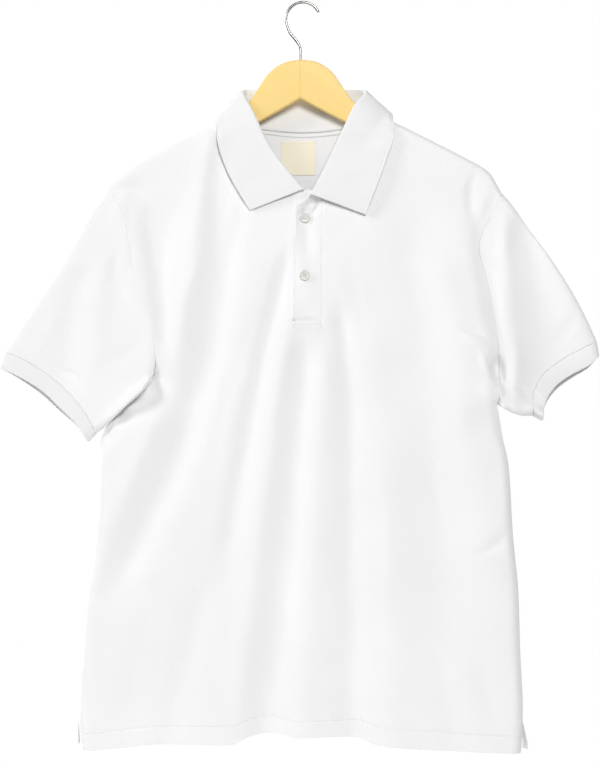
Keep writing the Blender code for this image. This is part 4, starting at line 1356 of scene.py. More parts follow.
@dataclass
class BodyPanel:
    """The front or the back: a sheet of pique from shoulders and neck down to the hem."""

    name: str
    form: BodyForm
    neck: Array
    hem: Array
    step: float
    row_step: float
    slit: bool
    flat: tuple[float, float]
    area: float
    wall: float = 1.2
    vent_rows_from: float = 0.93
    vent_stitch_column: float = 6.5
    band_ease: float = 3.0
    groove_half: float = 1.1
    pucker_half: float = 9.0
    grid: ClothGrid = field(init=False)
    rows: Array = field(init=False)

    def __post_init__(self) -> None:
        """Works out the grid of the outer face."""
        self.rows = self.row_shares()
        start_x, start_drop = self.columns()
        self.grid = self.lay_out(start_x, start_drop)

    def columns(self) -> tuple[Array, Array]:
        """x and drop where each column starts: shoulder, round the neck, and shoulder again."""
        left, right = SHOULDER[End.LEFT]["x"], SHOULDER[End.RIGHT]["x"]
        turns = roll_shares() * SIDE_ROLL
        count = round((left[-1] - left[0] - SIDE_ROLL) / self.step)
        inner_left = np.linspace(left[0] + SIDE_ROLL, left[-1], count + 1)[1:-1]
        inner_right = np.linspace(right[0], right[-1] - SIDE_ROLL, count + 1)[1:-1]
        from_left = np.concatenate([left[0] + turns, inner_left])
        from_right = np.concatenate([inner_right, (right[-1] - turns)[::-1]])
        shares = self.neck_shares()
        points = along(self.neck, shares)
        x = np.concatenate([from_left, points[:, 0], from_right])
        drop = np.concatenate([shoulder_line(from_left), points[:, 1], shoulder_line(from_right)])
        return x, drop

    def neck_shares(self) -> Array:
        """Even shares of the neck edge, and those at the sides of the slit."""
        length = passed(np.stack([self.neck["x"], self.neck["drop"]], 1))[-1]
        even = np.linspace(0, 1, round(length / self.step) + 1)
        if not self.slit:
            return even
        cuts = slit_shares(self.neck)
        spacing = even[1] * 0.5
        apart = np.abs(even[:, None] - cuts[None]).min(1) > spacing
        return np.sort(np.concatenate([even[apart], cuts]))

    def row_shares(self) -> Array:
        """Shares of the way down: the roll, then even rows, dense at the slit's end and hem."""
        first = roll_shares() * SHOULDER_ROLL / COLUMN_LENGTH
        even = np.arange(first[-1] + 0.006, 0.996, self.row_step / COLUMN_LENGTH)
        band = HEM_BAND / COLUMN_LENGTH
        near = np.arange(-4, 4.1, 0.8) / COLUMN_LENGTH
        sewn = 1 - band + near
        tail = 1 - np.array([2.4, 1.2, 0.6, 0.25, 0.08, 0.0]) / COLUMN_LENGTH
        above = even < sewn[0] - 0.002
        between = (even > sewn[-1] + 0.002) & (even < tail[0] - 0.002)
        even = even[above | between]
        rows = np.concatenate([first, even, sewn, tail])
        if self.slit:
            neck = self.neck["drop"].max()
            hem = smooth_curve(self.hem["x"], self.hem["drop"], PLACKET_LEFT * HEM_WIDENING)
            end = (PLACKET_END - neck) / (hem - neck)
            rows = np.append(rows[np.abs(rows - end) > 0.001], end)
        return np.sort(rows)

    def lay_out(self, start_x: Array, start_drop: Array) -> ClothGrid:
        """The grid: columns fall straight near the middle and follow the edges outside.

        A point's drop is its share of the way from its column's start to the hem. Its x moves
        with the side lines by a soft step of how near its column is to them, and its depth is
        the form's, turned in at the shoulders and sides.

        Args:
            start_x: x at each column's start.
            start_drop: drop at each column's start.

        Returns:
            The grid of the outer face.
        """
        hem_drop = smooth_curve(self.hem["x"], self.hem["drop"], start_x * HEM_WIDENING)
        share = self.rows[:, None]
        drop = start_drop * (1 - share) + hem_drop * share
        turns = roll_shares()
        drop[: len(turns)] = start_drop + turns[:, None] * SHOULDER_ROLL
        edge_left, edge_right = side_line(End.LEFT, drop[:, 0]), side_line(End.RIGHT, drop[:, -1])
        if self.form.side is Side.BACK:
            tail = soft_step((self.rows - self.vent_rows_from) / (1 - self.vent_rows_from))
            edge_left = edge_left + tail * VENT_TAIL[End.LEFT]
            edge_right = edge_right + tail * VENT_TAIL[End.RIGHT]
        left, right = start_x[0], start_x[-1]
        pull_left = soft_step((STRAIGHT_FROM - start_x) / (STRAIGHT_FROM - left - SIDE_ROLL))
        pull_right = soft_step((start_x - STRAIGHT_TO) / (right - SIDE_ROLL - STRAIGHT_TO))
        x = start_x + pull_left * (edge_left - left)[:, None]
        x = x + pull_right * (edge_right - right)[:, None]
        factor = roll((drop - shoulder_line(start_x)) / SHOULDER_ROLL)
        open_left, open_right = openness(End.LEFT, drop[:, 0]), openness(End.RIGHT, drop[:, -1])
        turned = roll(turns)
        factor[:, : len(turns)] *= turned + (1 - turned) * open_left[:, None]
        factor[:, -len(turns) :] *= (turned + (1 - turned) * open_right[:, None])[:, ::-1]
        relief = self.hem_relief(x)
        reached = (self.form.reach(x, drop) + relief) * factor
        y = self.form.side.value * np.maximum(reached, LEAST_EDGE)
        points = np.stack([x, y, -drop], axis=-1)
        outward = np.array([0.0, self.form.side.value, 0.0])
        kept = self.kept_cells(start_x, points)
        return ClothGrid(points, self.wall, outward, kept=kept, edge_share=SEWN_EDGE_SHARE)

    def hem_relief(self, x: Array) -> Array:
        """Height of the folded hem: a step up, a groove along its sewn line and small puckers."""
        above = ((1 - self.rows) * COLUMN_LENGTH)[:, None]
        band = HEM_RISE * soft_step((HEM_BAND + self.band_ease / 2 - above) / self.band_ease)
        groove = HEM_GROOVE * np.exp(-(((above - HEM_BAND) / self.groove_half) ** 2))
        run = x * 2 * math.pi / HEM_PUCKER_LENGTH
        ripple = np.sin(run + 1.3 * np.sin(run * 0.37)) * np.sin(run * 0.13 + 1.0)
        puckers = HEM_PUCKER * ripple * np.exp(-(((above - HEM_BAND) / self.pucker_half) ** 2))
        return band - groove + puckers

    def kept_cells(self, start_x: Array, points: Array) -> Array | None:
        """Which cells are used: all but those between the sides of the slit, above its end."""
        if not self.slit:
            return None
        kept = np.ones((points.shape[0] - 1, points.shape[1] - 1), bool)
        first, last = (int(np.argmin(abs(start_x - p))) for p in (PLACKET_LEFT, PLACKET_RIGHT))
        end = int(np.argmin(abs(-points[:, first, 2] - PLACKET_END)))
        kept[:end, first:last] = False
        return kept

    def hem_line(self) -> tuple[Array, Array]:
        """Points and normals along the hem's sewn line."""
        row = np.interp(1 - HEM_BAND / COLUMN_LENGTH, self.rows, np.arange(len(self.rows)))
        columns = np.linspace(3, self.grid.points.shape[1] - 4, 1200)
        return self.grid.at(np.full(len(columns), row), columns)

    def vent_line(self, end: End) -> tuple[Array, Array]:
        """Points and normals along the sewn line beside one vent."""
        first = float(np.interp(VENT_DROP, -self.grid.points[:, 0, 2], np.arange(len(self.rows))))
        rows = np.linspace(first, len(self.rows) - 2, 200)
        near = np.full(len(rows), self.vent_stitch_column)
        columns = near if end is End.LEFT else self.grid.points.shape[1] - 1 - near
        return self.grid.at(rows, columns)

    def build(self, finishes: Finishes) -> None:
        """Makes the panel and the stitches of its hem and vents."""
        piece = dress(self.grid.object(self.name + "_pique"), finishes.pique, Slot.CLOTH, self.name)
        stitches = Stitches().lay(
            self.name + "_hem_stitches",
            [self.hem_line(), self.vent_line(End.LEFT), self.vent_line(End.RIGHT)],
        )
        dress(stitches, finishes.thread, Slot.CLOTH)


@dataclass
class Sleeve:
    """A set-in sleeve of pique as a tube, and the ribbed cuff that ends it."""

    end: End
    front: BodyForm
    back: BodyForm
    flat: tuple[float, float]
    area: float
    cuff_flat: tuple[float, float]
    cuff_area: float
    rings: int = 96
    half_around: int = 84
    cuff_rings: int = 22
    wall: float = 1.2
    cuff_wall: float = 1.8
    seam_gap: float = 0.05
    back_lower: float = 4.5
    lean: float = 6.0
    under_fore: float = 18.0
    under_half: float = 9.0
    outer_ease: float = 1.15
    mirror_share: float = 0.45
    mirror_over: float = 12.0
    mirror_up: float = 20.0
    cuff_edge_turn: float = 8.0
    cuff_flare: float = 0.5
    cuff_bulge: float = 0.7

    def around(self) -> tuple[Array, Array, Array]:
        """Shares round the armhole, the side of each, and the points on the armhole's edge."""
        share = (1 - np.cos(np.linspace(0, math.pi, self.half_around))) / 2
        share = 0.5 * share + 0.5 * np.linspace(0, 1, self.half_around)
        front = self.front.edge(self.end, share)
        back = self.back.edge(self.end, share)[-2:0:-1]
        shares = np.concatenate([share, share[-2:0:-1]])
        sign = np.concatenate([np.full(len(share), -1.0), np.full(len(back), 1.0)])
        ring = np.concatenate([front, back])
        ring[[0, len(share) - 1], 1] = 0.0
        return shares, sign, ring

    def ways(self) -> Array:
        """Shares of the way from armhole to cuff seam, close together at both ends."""
        even = np.linspace(0, 1, self.rings)
        near = np.array([0.0008, 0.002, 0.004])
        inside = even[(even > 0.006) & (even < 0.994)]
        return np.concatenate([[0.0], near, inside, 1 - near[::-1], [1.0]])

    def points(self) -> tuple[Array, Array, Array]:
        """The sleeve's outer face: a patch blended from its four edges in the front view.

        A ring at a share of the way is the armhole's ring and the cuff seam weighed by that
        share, corrected so that its two ends lie on the outer and the under edge.

        Returns:
            The rings of points, the shares round them and their sides.
        """
        shape = SLEEVE[self.end]
        share, sign, ring = self.around()
        start = np.stack([ring[:, 0], -ring[:, 2]], 1)
        finish = along(shape["seam"], share)
        foot = self.half_around - 1
        v = self.ways()[:, None, None]
        s = share[None, :, None]
        ways = self.ways()
        top = (1 - v) * start[0] + v * finish[0]
        low = (1 - v) * start[foot] + v * finish[foot]
        place = (
            (1 - v) * start[None] + v * finish[None]
            + (1 - s) * (along(shape["outer"], ways)[:, None] - top)
            + s * (along(shape["under"], ways)[:, None] - low)
        )
        y = self.depth(ring[:, 1], place, share, sign, foot, ways)
        points = np.stack([place[..., 0], y, -place[..., 1]], axis=-1)
        step = unit(points[1] - points[0]) * self.seam_gap
        points[0] += step
        return points, share, sign

    def depth(
        self, start: Array, place: Array, share: Array, sign: Array, foot: int, ways: Array
    ) -> Array:
        """y of the rings: full in the middle less the folds, turned in at both edges."""
        width = np.linalg.norm(place[:, foot] - place[:, 0], axis=1)[:, None]
        turned = roll(np.minimum(share, 1 - share)[None] * width / SLEEVE_EDGE_ROLL)
        is_front = sign < 0
        full = np.where(is_front, SLEEVE_REACH[Side.FRONT], SLEEVE_REACH[Side.BACK])
        last = np.where(is_front, CUFF_REACH[Side.FRONT], CUFF_REACH[Side.BACK])
        late = soft_step((ways - SLEEVE_TAPER_FROM) / (1 - SLEEVE_TAPER_FROM))[:, None]
        outer = soft_step(self.outer_ease * (1 - share))
        depth = full + (last - full) * late - self.lean * outer * np.where(is_front, 1.0, 0.5)
        x, drop = place[..., 0], place[..., 1]
        folds = fold_depth(SLEEVE_FOLDS[self.end], x, drop)
        creases = crease_depth(SLEEVE_CREASES[self.end], x, drop)
        mirrored = fold_depth(SLEEVE_FOLDS[self.end], x + self.mirror_over, drop - self.mirror_up)
        behind = self.mirror_share * mirrored
        dented = np.where(is_front, folds + creases, behind) + swells(x, drop)
        depth = SLEEVE_LEAST + np.logaddexp(0.0, depth - dented - SLEEVE_LEAST)
        blend = soft_step(ways / SLEEVE_EASE)[:, None]
        fore = self.under_fore * np.sin(math.pi * np.sqrt(ways))[:, None]
        near = np.exp(-(((1 - share)[None] * width / self.under_half) ** 2))
        return (1 - blend) * start[None] + blend * sign * depth * turned - fore * near

    def cuff_points(self, seam: Array, share: Array, sign: Array) -> Array:
        """The cuff's outer face: straight from the seam to its edge, which hangs lower behind."""
        edge = along(SLEEVE[self.end]["edge"], share)
        way = unit(edge - np.stack([seam[:, 0], -seam[:, 2]], 1))
        lower = np.where(sign > 0, self.back_lower, 0.0) * np.sin(math.pi * share) ** 0.7
        edge = edge + way * lower[:, None]
        turned = roll(np.minimum(share, 1 - share) * self.cuff_edge_turn)
        flared = seam[:, 1] + sign * turned * self.cuff_flare
        last = np.stack([edge[:, 0], flared, -edge[:, 1]], 1)
        ends = np.array([0.0, 0.006, 0.02, 0.05])
        inside = np.linspace(0.09, 0.91, self.cuff_rings - 8)
        part = np.concatenate([ends, inside, 1 - ends[::-1]])[:, None, None]
        first = seam + unit(last - seam) * self.seam_gap
        bulge = self.cuff_bulge * np.sin(math.pi * part[..., 0]) * turned[None]
        rings = first[None] + (last - first)[None] * part
        rings[..., 1] += sign[None] * bulge
        return rings

    def build(self, finishes: Finishes) -> None:
        """Makes the sleeve and its cuff."""
        points, share, sign = self.points()
        side = self.end.value
        grid = ClothGrid(
            points, self.wall, self.outward(points), closed=True, edge_share=SEWN_EDGE_SHARE
        )
        sleeve = dress(
            grid.object(f"sleeve_{side}_pique"), finishes.pique, Slot.CLOTH, f"sleeve_{side}"
        )
        cuff_points = self.cuff_points(points[-1], share, sign)
        cuff_grid = ClothGrid(cuff_points, self.cuff_wall, self.outward(cuff_points), closed=True)
        cuff = dress(cuff_grid.object(f"cuff_{side}_rib"), finishes.rib, Slot.RIB, f"cuff_{side}")

    @staticmethod
    def outward(points: Array) -> Array:
        """For each point, the way out from the middle of its ring."""
        return points - points.mean(axis=1, keepdims=True)


@dataclass
class Collar:
    """One flat-knit strip: it rises from the neck seam, turns over and falls to its edge."""

    front: BodyForm
    back: BodyForm
    wall: float = 1.7
    fold_radius: float = 1.8
    leaf_room: float = 1.1
    solid_wall: float = 2.0
    stand_steps: int = 14
    turn_steps: int = 10
    leaf_steps: int = 34
    edge_groove: float = 0.3
    flat: tuple[float, float] = (0.42, 0.075)

    def seam(self) -> tuple[Array, Array]:
        """Points and stations of the neck seam: left front, round the back, right front."""
        cut_left, cut_right = slit_shares(NECK_FRONT)
        counts = (60, 110, 60)
        ends = np.array([0.0, 0.002, 0.006])
        left_share = np.concatenate([ends, np.linspace(0.014, 1, counts[0])])
        right_share = 1 - left_share[::-1]
        rear_share = np.linspace(0, 1, counts[1])[1:-1]
        left = along(NECK_FRONT, cut_left * (1 - left_share))
        right = along(NECK_FRONT, 1 - (1 - cut_right) * right_share)
        rear = along(NECK_BACK, rear_share)
        places = np.concatenate([left, rear, right])
        y = np.concatenate(
            [
                self.front.depth(left[:, 0], left[:, 1]),
                self.back.depth(rear[:, 0], rear[:, 1]),
                self.front.depth(right[:, 0], right[:, 1]),
            ]
        )
        station = np.concatenate([left_share, 1 + 2 * rear_share, 3 + right_share])
        return np.stack([places[:, 0], y, -places[:, 1]], 1), station

    @staticmethod
    def line(part: str, station: Array) -> Array:
        """Points of the fold or of the leaf's edge at each station."""
        x, y, drop = (
            smooth_curve(COLLAR["station"], COLLAR[f"{part}_{axis}"], station)
            for axis in ("x", "y", "drop")
        )
        return np.stack([x, y, -drop], 1)

    @staticmethod
    def facing(station: Array) -> Array:
        """Level unit vectors out of the collar's leaf at each station."""
        turn = np.radians(smooth_curve(COLLAR_FACING["station"], COLLAR_FACING["turn"], station))
        return np.stack([-np.sin(turn), -np.cos(turn), 0 * turn], 1)

    def clear(self, points: Array, front_half: Array) -> Array:
        """Moves the leaf out to clear the shoulders below it by the wall and its room."""
        room = self.solid_wall / 2 + self.leaf_room
        x, drop = points[..., 0], -points[..., 2]
        covered = roll((drop - shoulder_line(x) + room) / SHOULDER_ROLL)
        most_front = -(self.front.reach(x, drop) + room) * covered
        most_back = (self.back.reach(x, drop) + room) * covered
        y = points[..., 1]
        points[..., 1] = np.where(front_half, np.minimum(y, most_front), np.maximum(y, most_back))
        return points

    def middle(self) -> tuple[Array, Array]:
        """Middle of the wall: a straight stand, half a circle over the fold, a straight leaf.

        Returns:
            The rows of points from the seam to the leaf's edge, and the stations.
        """
        seam, station = self.seam()
        fold, edge = self.line("fold", station), self.line("edge", station)
        rise = unit(fold - seam)
        facing = self.facing(station)
        outward = unit(facing - (facing * rise).sum(1, keepdims=True) * rise)
        foot = seam + unit(seam * [-1.0, 0.0, 0.0] + NECK_UP) * 0.6
        centre = fold - rise * self.fold_radius + outward * self.fold_radius
        top = centre - outward * self.fold_radius
        parts = np.linspace(0, 1, self.stand_steps)[:-1] ** 1.3
        rows = [foot + (top - foot) * part for part in parts]
        for angle in np.linspace(0, math.pi, self.turn_steps):
            around = rise * math.sin(angle) - outward * math.cos(angle)
            rows.append(centre + self.fold_radius * around)
        fallen = rows[-1]
        ends = np.array([3.4, 2.6, 1.8, 1.1, 0.6, 0.25, 0.08, 0.0]) / 42
        leaf = np.concatenate([np.linspace(0, 1 - ends[0] - 0.02, self.leaf_steps)[1:], 1 - ends])
        rows += [fallen + (edge - fallen) * part for part in leaf]
        points = np.array(rows)
        front_half = (station < 1) | (station > 3)
        falls = slice(self.stand_steps + self.turn_steps // 2, None)
        points[falls] = self.clear(points[falls], front_half)
        return self.dented(points, front_half, len(leaf)), station

    def dented(self, points: Array, front_half: Array, leaf_rows: int) -> Array:
        """The leaf with its soft dents and waves, and a fine groove inside its knitted edge."""
        leaf = points[-leaf_rows:]
        x, drop = leaf[..., 0], -leaf[..., 2]
        fall = passed(points, 0)
        from_edge = (fall[-1:] - fall)[-leaf_rows:]
        groove = self.edge_groove * np.exp(-(((from_edge - 3.0) / 0.8) ** 2))
        dents = pit_depth(COLLAR_DENTS, x, drop) + 0.5 * swells(x * 1.4, drop * 1.4)
        way = np.where(front_half, 1.0, -1.0)
        lifted = soft_step(1 - np.abs(from_edge) / 30) * 0.2
        leaf[..., 1] += way * (np.maximum(dents, -0.6) - lifted) * 0.9 + way * groove
        points[-leaf_rows:] = leaf
        return points

    def build(self, finishes: Finishes) -> None:
        """Makes the collar."""
        points, station = self.middle()
        facing = self.facing(station)
        outward = np.zeros_like(points)
        outward[-self.leaf_steps :] = facing
        outward[: self.stand_steps - 2] = -facing
        grid = ClothGrid(points, self.wall, outward)
        grid.points = grid.points + grid.normals * self.wall / 2
        piece = dress(grid.object("collar_rib"), finishes.rib, Slot.RIB, "collar")


@dataclass
class Placket:
    """Two strips over and behind the slit, sewn round with a box at the foot."""

    front: BodyForm
    wall: float = 1.2
    thin: float = 0.05
    thin_from: float = 2.0
    foot_from: float = 364.0
    lift: float = 0.02
    top: float = 213.0
    columns: int = 46
    row_step: float = 1.6
    edge_stitch: float = 2.4
    box_top: float = 363.0
    box_bottom: float = 371.5
    box_dip: float = 3.2
    box_fall: float = 6.0
    under_gap: float = 2.6
    deepest_crease: float = 8.0
    box_ease: float = 1.5
    even_share: float = 0.6
    even_from: float = 4.0
    even_over: float = 14.0
    foot_groove: float = 0.7
    foot_groove_half: float = 0.9
    foot_groove_to: float = 16.0
    foot_groove_fade: float = 8.0
    side_groove: float = 0.1
    side_groove_half: float = 0.8

    def creases(self, x: Array, drop: Array) -> Array:
        """The hollow below the collar with the turned edge beside it, and the strip's sag."""
        return np.minimum(crease_depth(STRIP_CREASES, x, drop), self.deepest_crease)

    def box(self, x: Array, drop: Array) -> Array:
        """Depth of the dip above the box, less to the right, and of the grooves of its seams."""
        share = np.clip(1 + (drop - self.box_top) / self.box_fall, 0, 1)
        fall = share * (1 - soft_step((drop - self.box_top) / self.box_ease))
        fall = fall * (1 - self.even_share * soft_step((x - self.even_from) / self.even_over))
        low = np.exp(-(((drop - self.box_bottom) / self.foot_groove_half) ** 2))
        low = self.foot_groove * low * soft_step((self.foot_groove_to - x) / self.foot_groove_fade)
        sides = sum(
            np.exp(-(((x - line) / self.side_groove_half) ** 2)) for line in self.edge_lines()
        )
        return self.box_dip * fall + low + self.side_groove * sides

    def edge_lines(self) -> tuple[float, float]:
        """x of the sewn lines inside the strip's two edges."""
        first, last = PLACKET_LEFT - PLACKET_LAP, PLACKET_RIGHT + PLACKET_LAP
        return first + self.edge_stitch, last - self.edge_stitch

    def thickness(self, x: Array, drop: Array) -> Array:
        """The strip's wall, which thins to its right edge and foot, where it is sewn down."""
        right = soft_step((x - self.thin_from) / (PLACKET_RIGHT + PLACKET_LAP - self.thin_from))
        foot = soft_step((drop - self.foot_from) / (PLACKET_END + PLACKET_LAP - self.foot_from))
        return self.wall + (self.thin - self.wall) * np.maximum(right, foot)

    def face(self, x: Array, drop: Array) -> Array:
        """y of the upper strip's face: the front's own depth, the wall, and its own relief."""
        out = self.lift + self.thickness(x, drop)
        return self.front.depth(x, drop) - out + self.creases(x, drop) + self.box(x, drop)

    def strip(self, upper: bool) -> ClothGrid:
        """The grid of one strip: even columns and rows, close together at its edges.

        Args:
            upper: whether it is the strip on the outside.

        Returns:
            The grid of the strip's outer face.
        """
        ends = np.array([0.0, 0.12, 0.4, 0.8, 1.4])
        first, last = PLACKET_LEFT - PLACKET_LAP, PLACKET_RIGHT + PLACKET_LAP
        inside = np.linspace(first + 2.0, last - 2.0, self.columns)
        across = np.concatenate([first + ends, inside, last - ends[::-1]])
        foot = PLACKET_END + PLACKET_LAP
        middle = np.arange(self.top + 2.2, foot - 2.0, self.row_step)
        down = np.concatenate([self.top + ends, middle, foot - ends[::-1]])
        x, drop = np.meshgrid(across, down)
        if upper:
            y, wall = self.face(x, drop), self.thickness(x, drop)
        else:
            dent = np.maximum(self.creases(x, drop), 0)
            y, wall = self.front.depth(x, drop) + self.under_gap + 0.9 * dent, self.wall
        points = np.stack([x, y, -drop], axis=-1)
        return ClothGrid(points, wall, np.array([0.0, -1.0, 0.0]))

    def on_strip(self, x: Array, drop: Array) -> tuple[Array, Array]:
        """Points and normals on the upper strip's face at places in the front view."""
        normals = np.tile([0.0, -1.0, 0.0], (len(x), 1))
        return np.stack([x, self.face(x, drop), -drop], 1), normals

    def sewn_lines(self) -> list[tuple[Array, Array]]:
        """The lines along both edges and round the box."""
        left, right = self.edge_lines()
        count = 200
        down = np.linspace(CORNER_DROP + 3, self.box_bottom, count)
        across = np.linspace(left, right, count)
        return [
            self.on_strip(np.full(count, left), down),
            self.on_strip(np.full(count, right), down),
            self.on_strip(across, np.full(count, self.box_top + self.edge_stitch)),
            self.on_strip(across, np.full(count, self.box_bottom)),
        ]

    def buttonholes(self) -> list[tuple[Array, Array]]:
        """Close cross stitches down both sides of each buttonhole."""
        lines = []
        for middle in BUTTON_DROPS:
            for row in np.arange(middle - 6.3, middle + 6.4, 0.7):
                x = np.linspace(BUTTON_X - 1.3, BUTTON_X + 1.3, 3)
                lines.append(self.on_strip(x, np.full(3, row)))
        return lines

    def build(self, finishes: Finishes) -> None:
        """Makes both strips and their stitches."""
        upper = dress(
            self.strip(True).object("placket_upper_pique"), finishes.pique, Slot.CLOTH,
            "placket_upper",
        )
        under = dress(
            self.strip(False).object("placket_under_pique"), finishes.pique, Slot.CLOTH,
            "placket_under",
        )
        sewn = dress(
            Stitches().lay("placket_stitches", self.sewn_lines()), finishes.thread, Slot.CLOTH
        )
        holes = Stitches(pitch=2.6, length=2.3, thread=0.45).lay(
            "buttonhole_stitches", self.buttonholes()
        )
        dress(holes, finishes.thread, Slot.CLOTH)


@dataclass
class Button:
    """A four-hole shirt button, turned with a raised rim, and its sewing thread."""

    name: str
    drop: float
    placket: Placket
    radius: float = 5.75
    thick: float = 2.2
    hole_out: float = 1.55
    hole_radius: float = 0.62
    hole_deep: float = 1.1
    dish: float = 0.68
    seat_gap: float = 0.15
    rings: int = 40
    around: int = 96

    def seat(self) -> float:
        """y of the button's back: clear of the strip at every place under it."""
        turn = np.linspace(0, 2 * math.pi, 24)
        x = BUTTON_X + self.radius * np.cos(turn)
        points, _ = self.placket.on_strip(x, self.drop + self.radius * np.sin(turn))
        return float(points[:, 1].min()) - self.seat_gap

    def section(self) -> tuple[Array, Array]:
        """Radius and height round the section: dish, rim, edge and back."""
        out = [0.0, 0.3, 0.5, 0.6, 0.68, 0.76, 0.84, 0.92, 0.97, 1.0, 0.985, 0.93, 0.85, 0.0]
        rim = [0.69, 0.72, 0.82, 0.94, 1.0, 0.95, 0.82, 0.55, 0.3, 0.1, 0.0, 0.0]
        height = [self.dish, self.dish] + rim
        share = np.linspace(0, len(out) - 1, self.rings)
        places = np.arange(len(out))
        radius = np.interp(share, places, out) * self.radius
        return np.maximum(radius, 0.02), np.interp(share, places, height) * self.thick

    def build(self, finishes: Finishes) -> None:
        """Makes the button and the two pairs of upright threads through its holes.

        The face is the section turned round, less four bells of depth where the holes are.
        """
        radius, height = self.section()
        turn = np.arange(self.around) * 2 * math.pi / self.around
        over = radius[:, None] * np.cos(turn)
        up = radius[:, None] * np.sin(turn)
        lift = np.repeat(height[:, None], self.around, axis=1)
        face = np.arange(self.rings)[:, None] < self.rings * 0.4
        for a in (45, 135, 225, 315):
            cx = self.hole_out * math.cos(math.radians(a))
            cz = self.hole_out * math.sin(math.radians(a))
            away = np.hypot(over - cx, up - cz) / self.hole_radius
            lift = lift - np.where(face, self.hole_deep * np.exp(-(away**4)), 0.0)
        seat = self.seat()
        points = np.stack([BUTTON_X + over, seat - lift, -self.drop + up], axis=-1).reshape(-1, 3)
        disc = mesh_object(self.name + "_resin", points, tube_faces(self.rings, self.around))
        close_ends(disc)
        dress(disc, finishes.resin, Slot.BUTTON, self.name)
        reach = self.hole_out * math.cos(math.radians(45))
        level = seat - self.dish * self.thick - 0.1
        lines = []
        for x in (-reach, reach):
            run = np.linspace(-reach, reach, 9)
            for shift in (-0.16, 0.16):
                places = np.stack(
                    [BUTTON_X + x + shift + 0 * run, level + 0 * run, -self.drop + run], 1
                )
                lines.append((places, np.tile([0.0, -1.0, 0.0], (9, 1))))
        thread = Stitches(pitch=9.0, length=2 * reach + 0.5, thread=0.42).lay(
            self.name + "_thread", lines
        )
        dress(thread, finishes.thread, Slot.CLOTH)


@dataclass
class NeckTrim:
    """The twill tape over the back neck seam and the bare woven label below it."""

    back: BodyForm
    tape_half: float = 56.0
    tape_from: float = 0.3
    tape_to: float = 4.8
    label_left: float = -25.0
    label_drop: float = 156.0
    label_size: float = 39.0
    wall: float = 0.3
    gap: float = 0.08
    cloth: float = 1.5
    edge_samples: int = 1001
    tape_crown: float = 0.35
    tape_rows: tuple[float, float] = (2.6, 9.6)
    label_row: float = 4.5
    fold_rise: float = 0.06
    fold_depth: float = 4.5
    label_lift: float = 0.04

    def patch(self, x: Array, drop: Array, swell: Array) -> ClothGrid:
        """A thin piece on the back's inside: its points moved in, with a soft swell."""
        y = self.back.depth(x, drop) - self.cloth - self.gap - self.wall - swell
        points = np.stack([x, y, -drop], axis=-1)
        return ClothGrid(points, self.wall, np.array([0.0, -1.0, 0.0]))

    def tape(self) -> ClothGrid:
        """The tape: rows that follow the back neck edge, crowned across."""
        x = np.linspace(-self.tape_half, self.tape_half, 120)[None]
        share = np.array([0.0, 0.02, 0.07, 0.15, 0.3, 0.42, 0.5, 0.58, 0.7, 0.85, 0.93, 0.98, 1.0])
        down = (self.tape_from + (self.tape_to - self.tape_from) * share)[:, None]
        edge = along(NECK_BACK, np.linspace(0, 1, self.edge_samples))
        seam = np.interp(x, edge[:, 0], edge[:, 1])
        drop = seam + down
        crown = self.tape_crown * np.sin(math.pi * share)[:, None] + 0 * x
        return self.patch(x + 0 * drop, drop, crown)

    def label(self) -> ClothGrid:
        """The label: a square with a folded band at top and bottom, a little lifted below."""
        share = np.concatenate([[0, 0.004, 0.014, 0.03], np.linspace(0.06, 0.94, 40)])
        share = np.concatenate([share, 1 - share[3::-1]])
        x, down = np.meshgrid(share * self.label_size, share * self.label_size)
        upper, lower = self.fold_depth, self.label_size - self.fold_depth
        fold = self.fold_rise * (soft_step(upper - down) + soft_step(down - lower))
        lift = self.label_lift * soft_step((down - 8) / 30) * (0.6 + 0.4 * np.sin(x / 9))
        return self.patch(x + self.label_left, down + self.label_drop, fold + lift)

    def build(self, finishes: Finishes) -> None:
        """Makes the tape and the label, each sewn on."""
        tape, label = self.tape(), self.label()
        tape_piece = dress(tape.object("neck_tape_twill"), finishes.twill, Slot.TAPE, "neck_tape")
        label_piece = dress(label.object("label_satin"), finishes.satin, Slot.LABEL, "label")
        columns = np.linspace(1, tape.points.shape[1] - 2, 300)
        tape_lines = [tape.at(np.full(300, row), columns, 0.05) for row in self.tape_rows]
        stitches = Stitches(pitch=2.8, length=2.1, thread=0.4).lay("neck_tape_stitches", tape_lines)
        dress(stitches, finishes.thread, Slot.TAPE)
        columns = np.linspace(2, label.points.shape[1] - 3, 200)
        label_lines = [label.at(np.full(200, self.label_row), columns, 0.05)]
        sewn = Stitches(pitch=2.2, length=1.6, thread=0.35).lay("label_stitches", label_lines)
        dress(sewn, finishes.thread, Slot.LABEL)


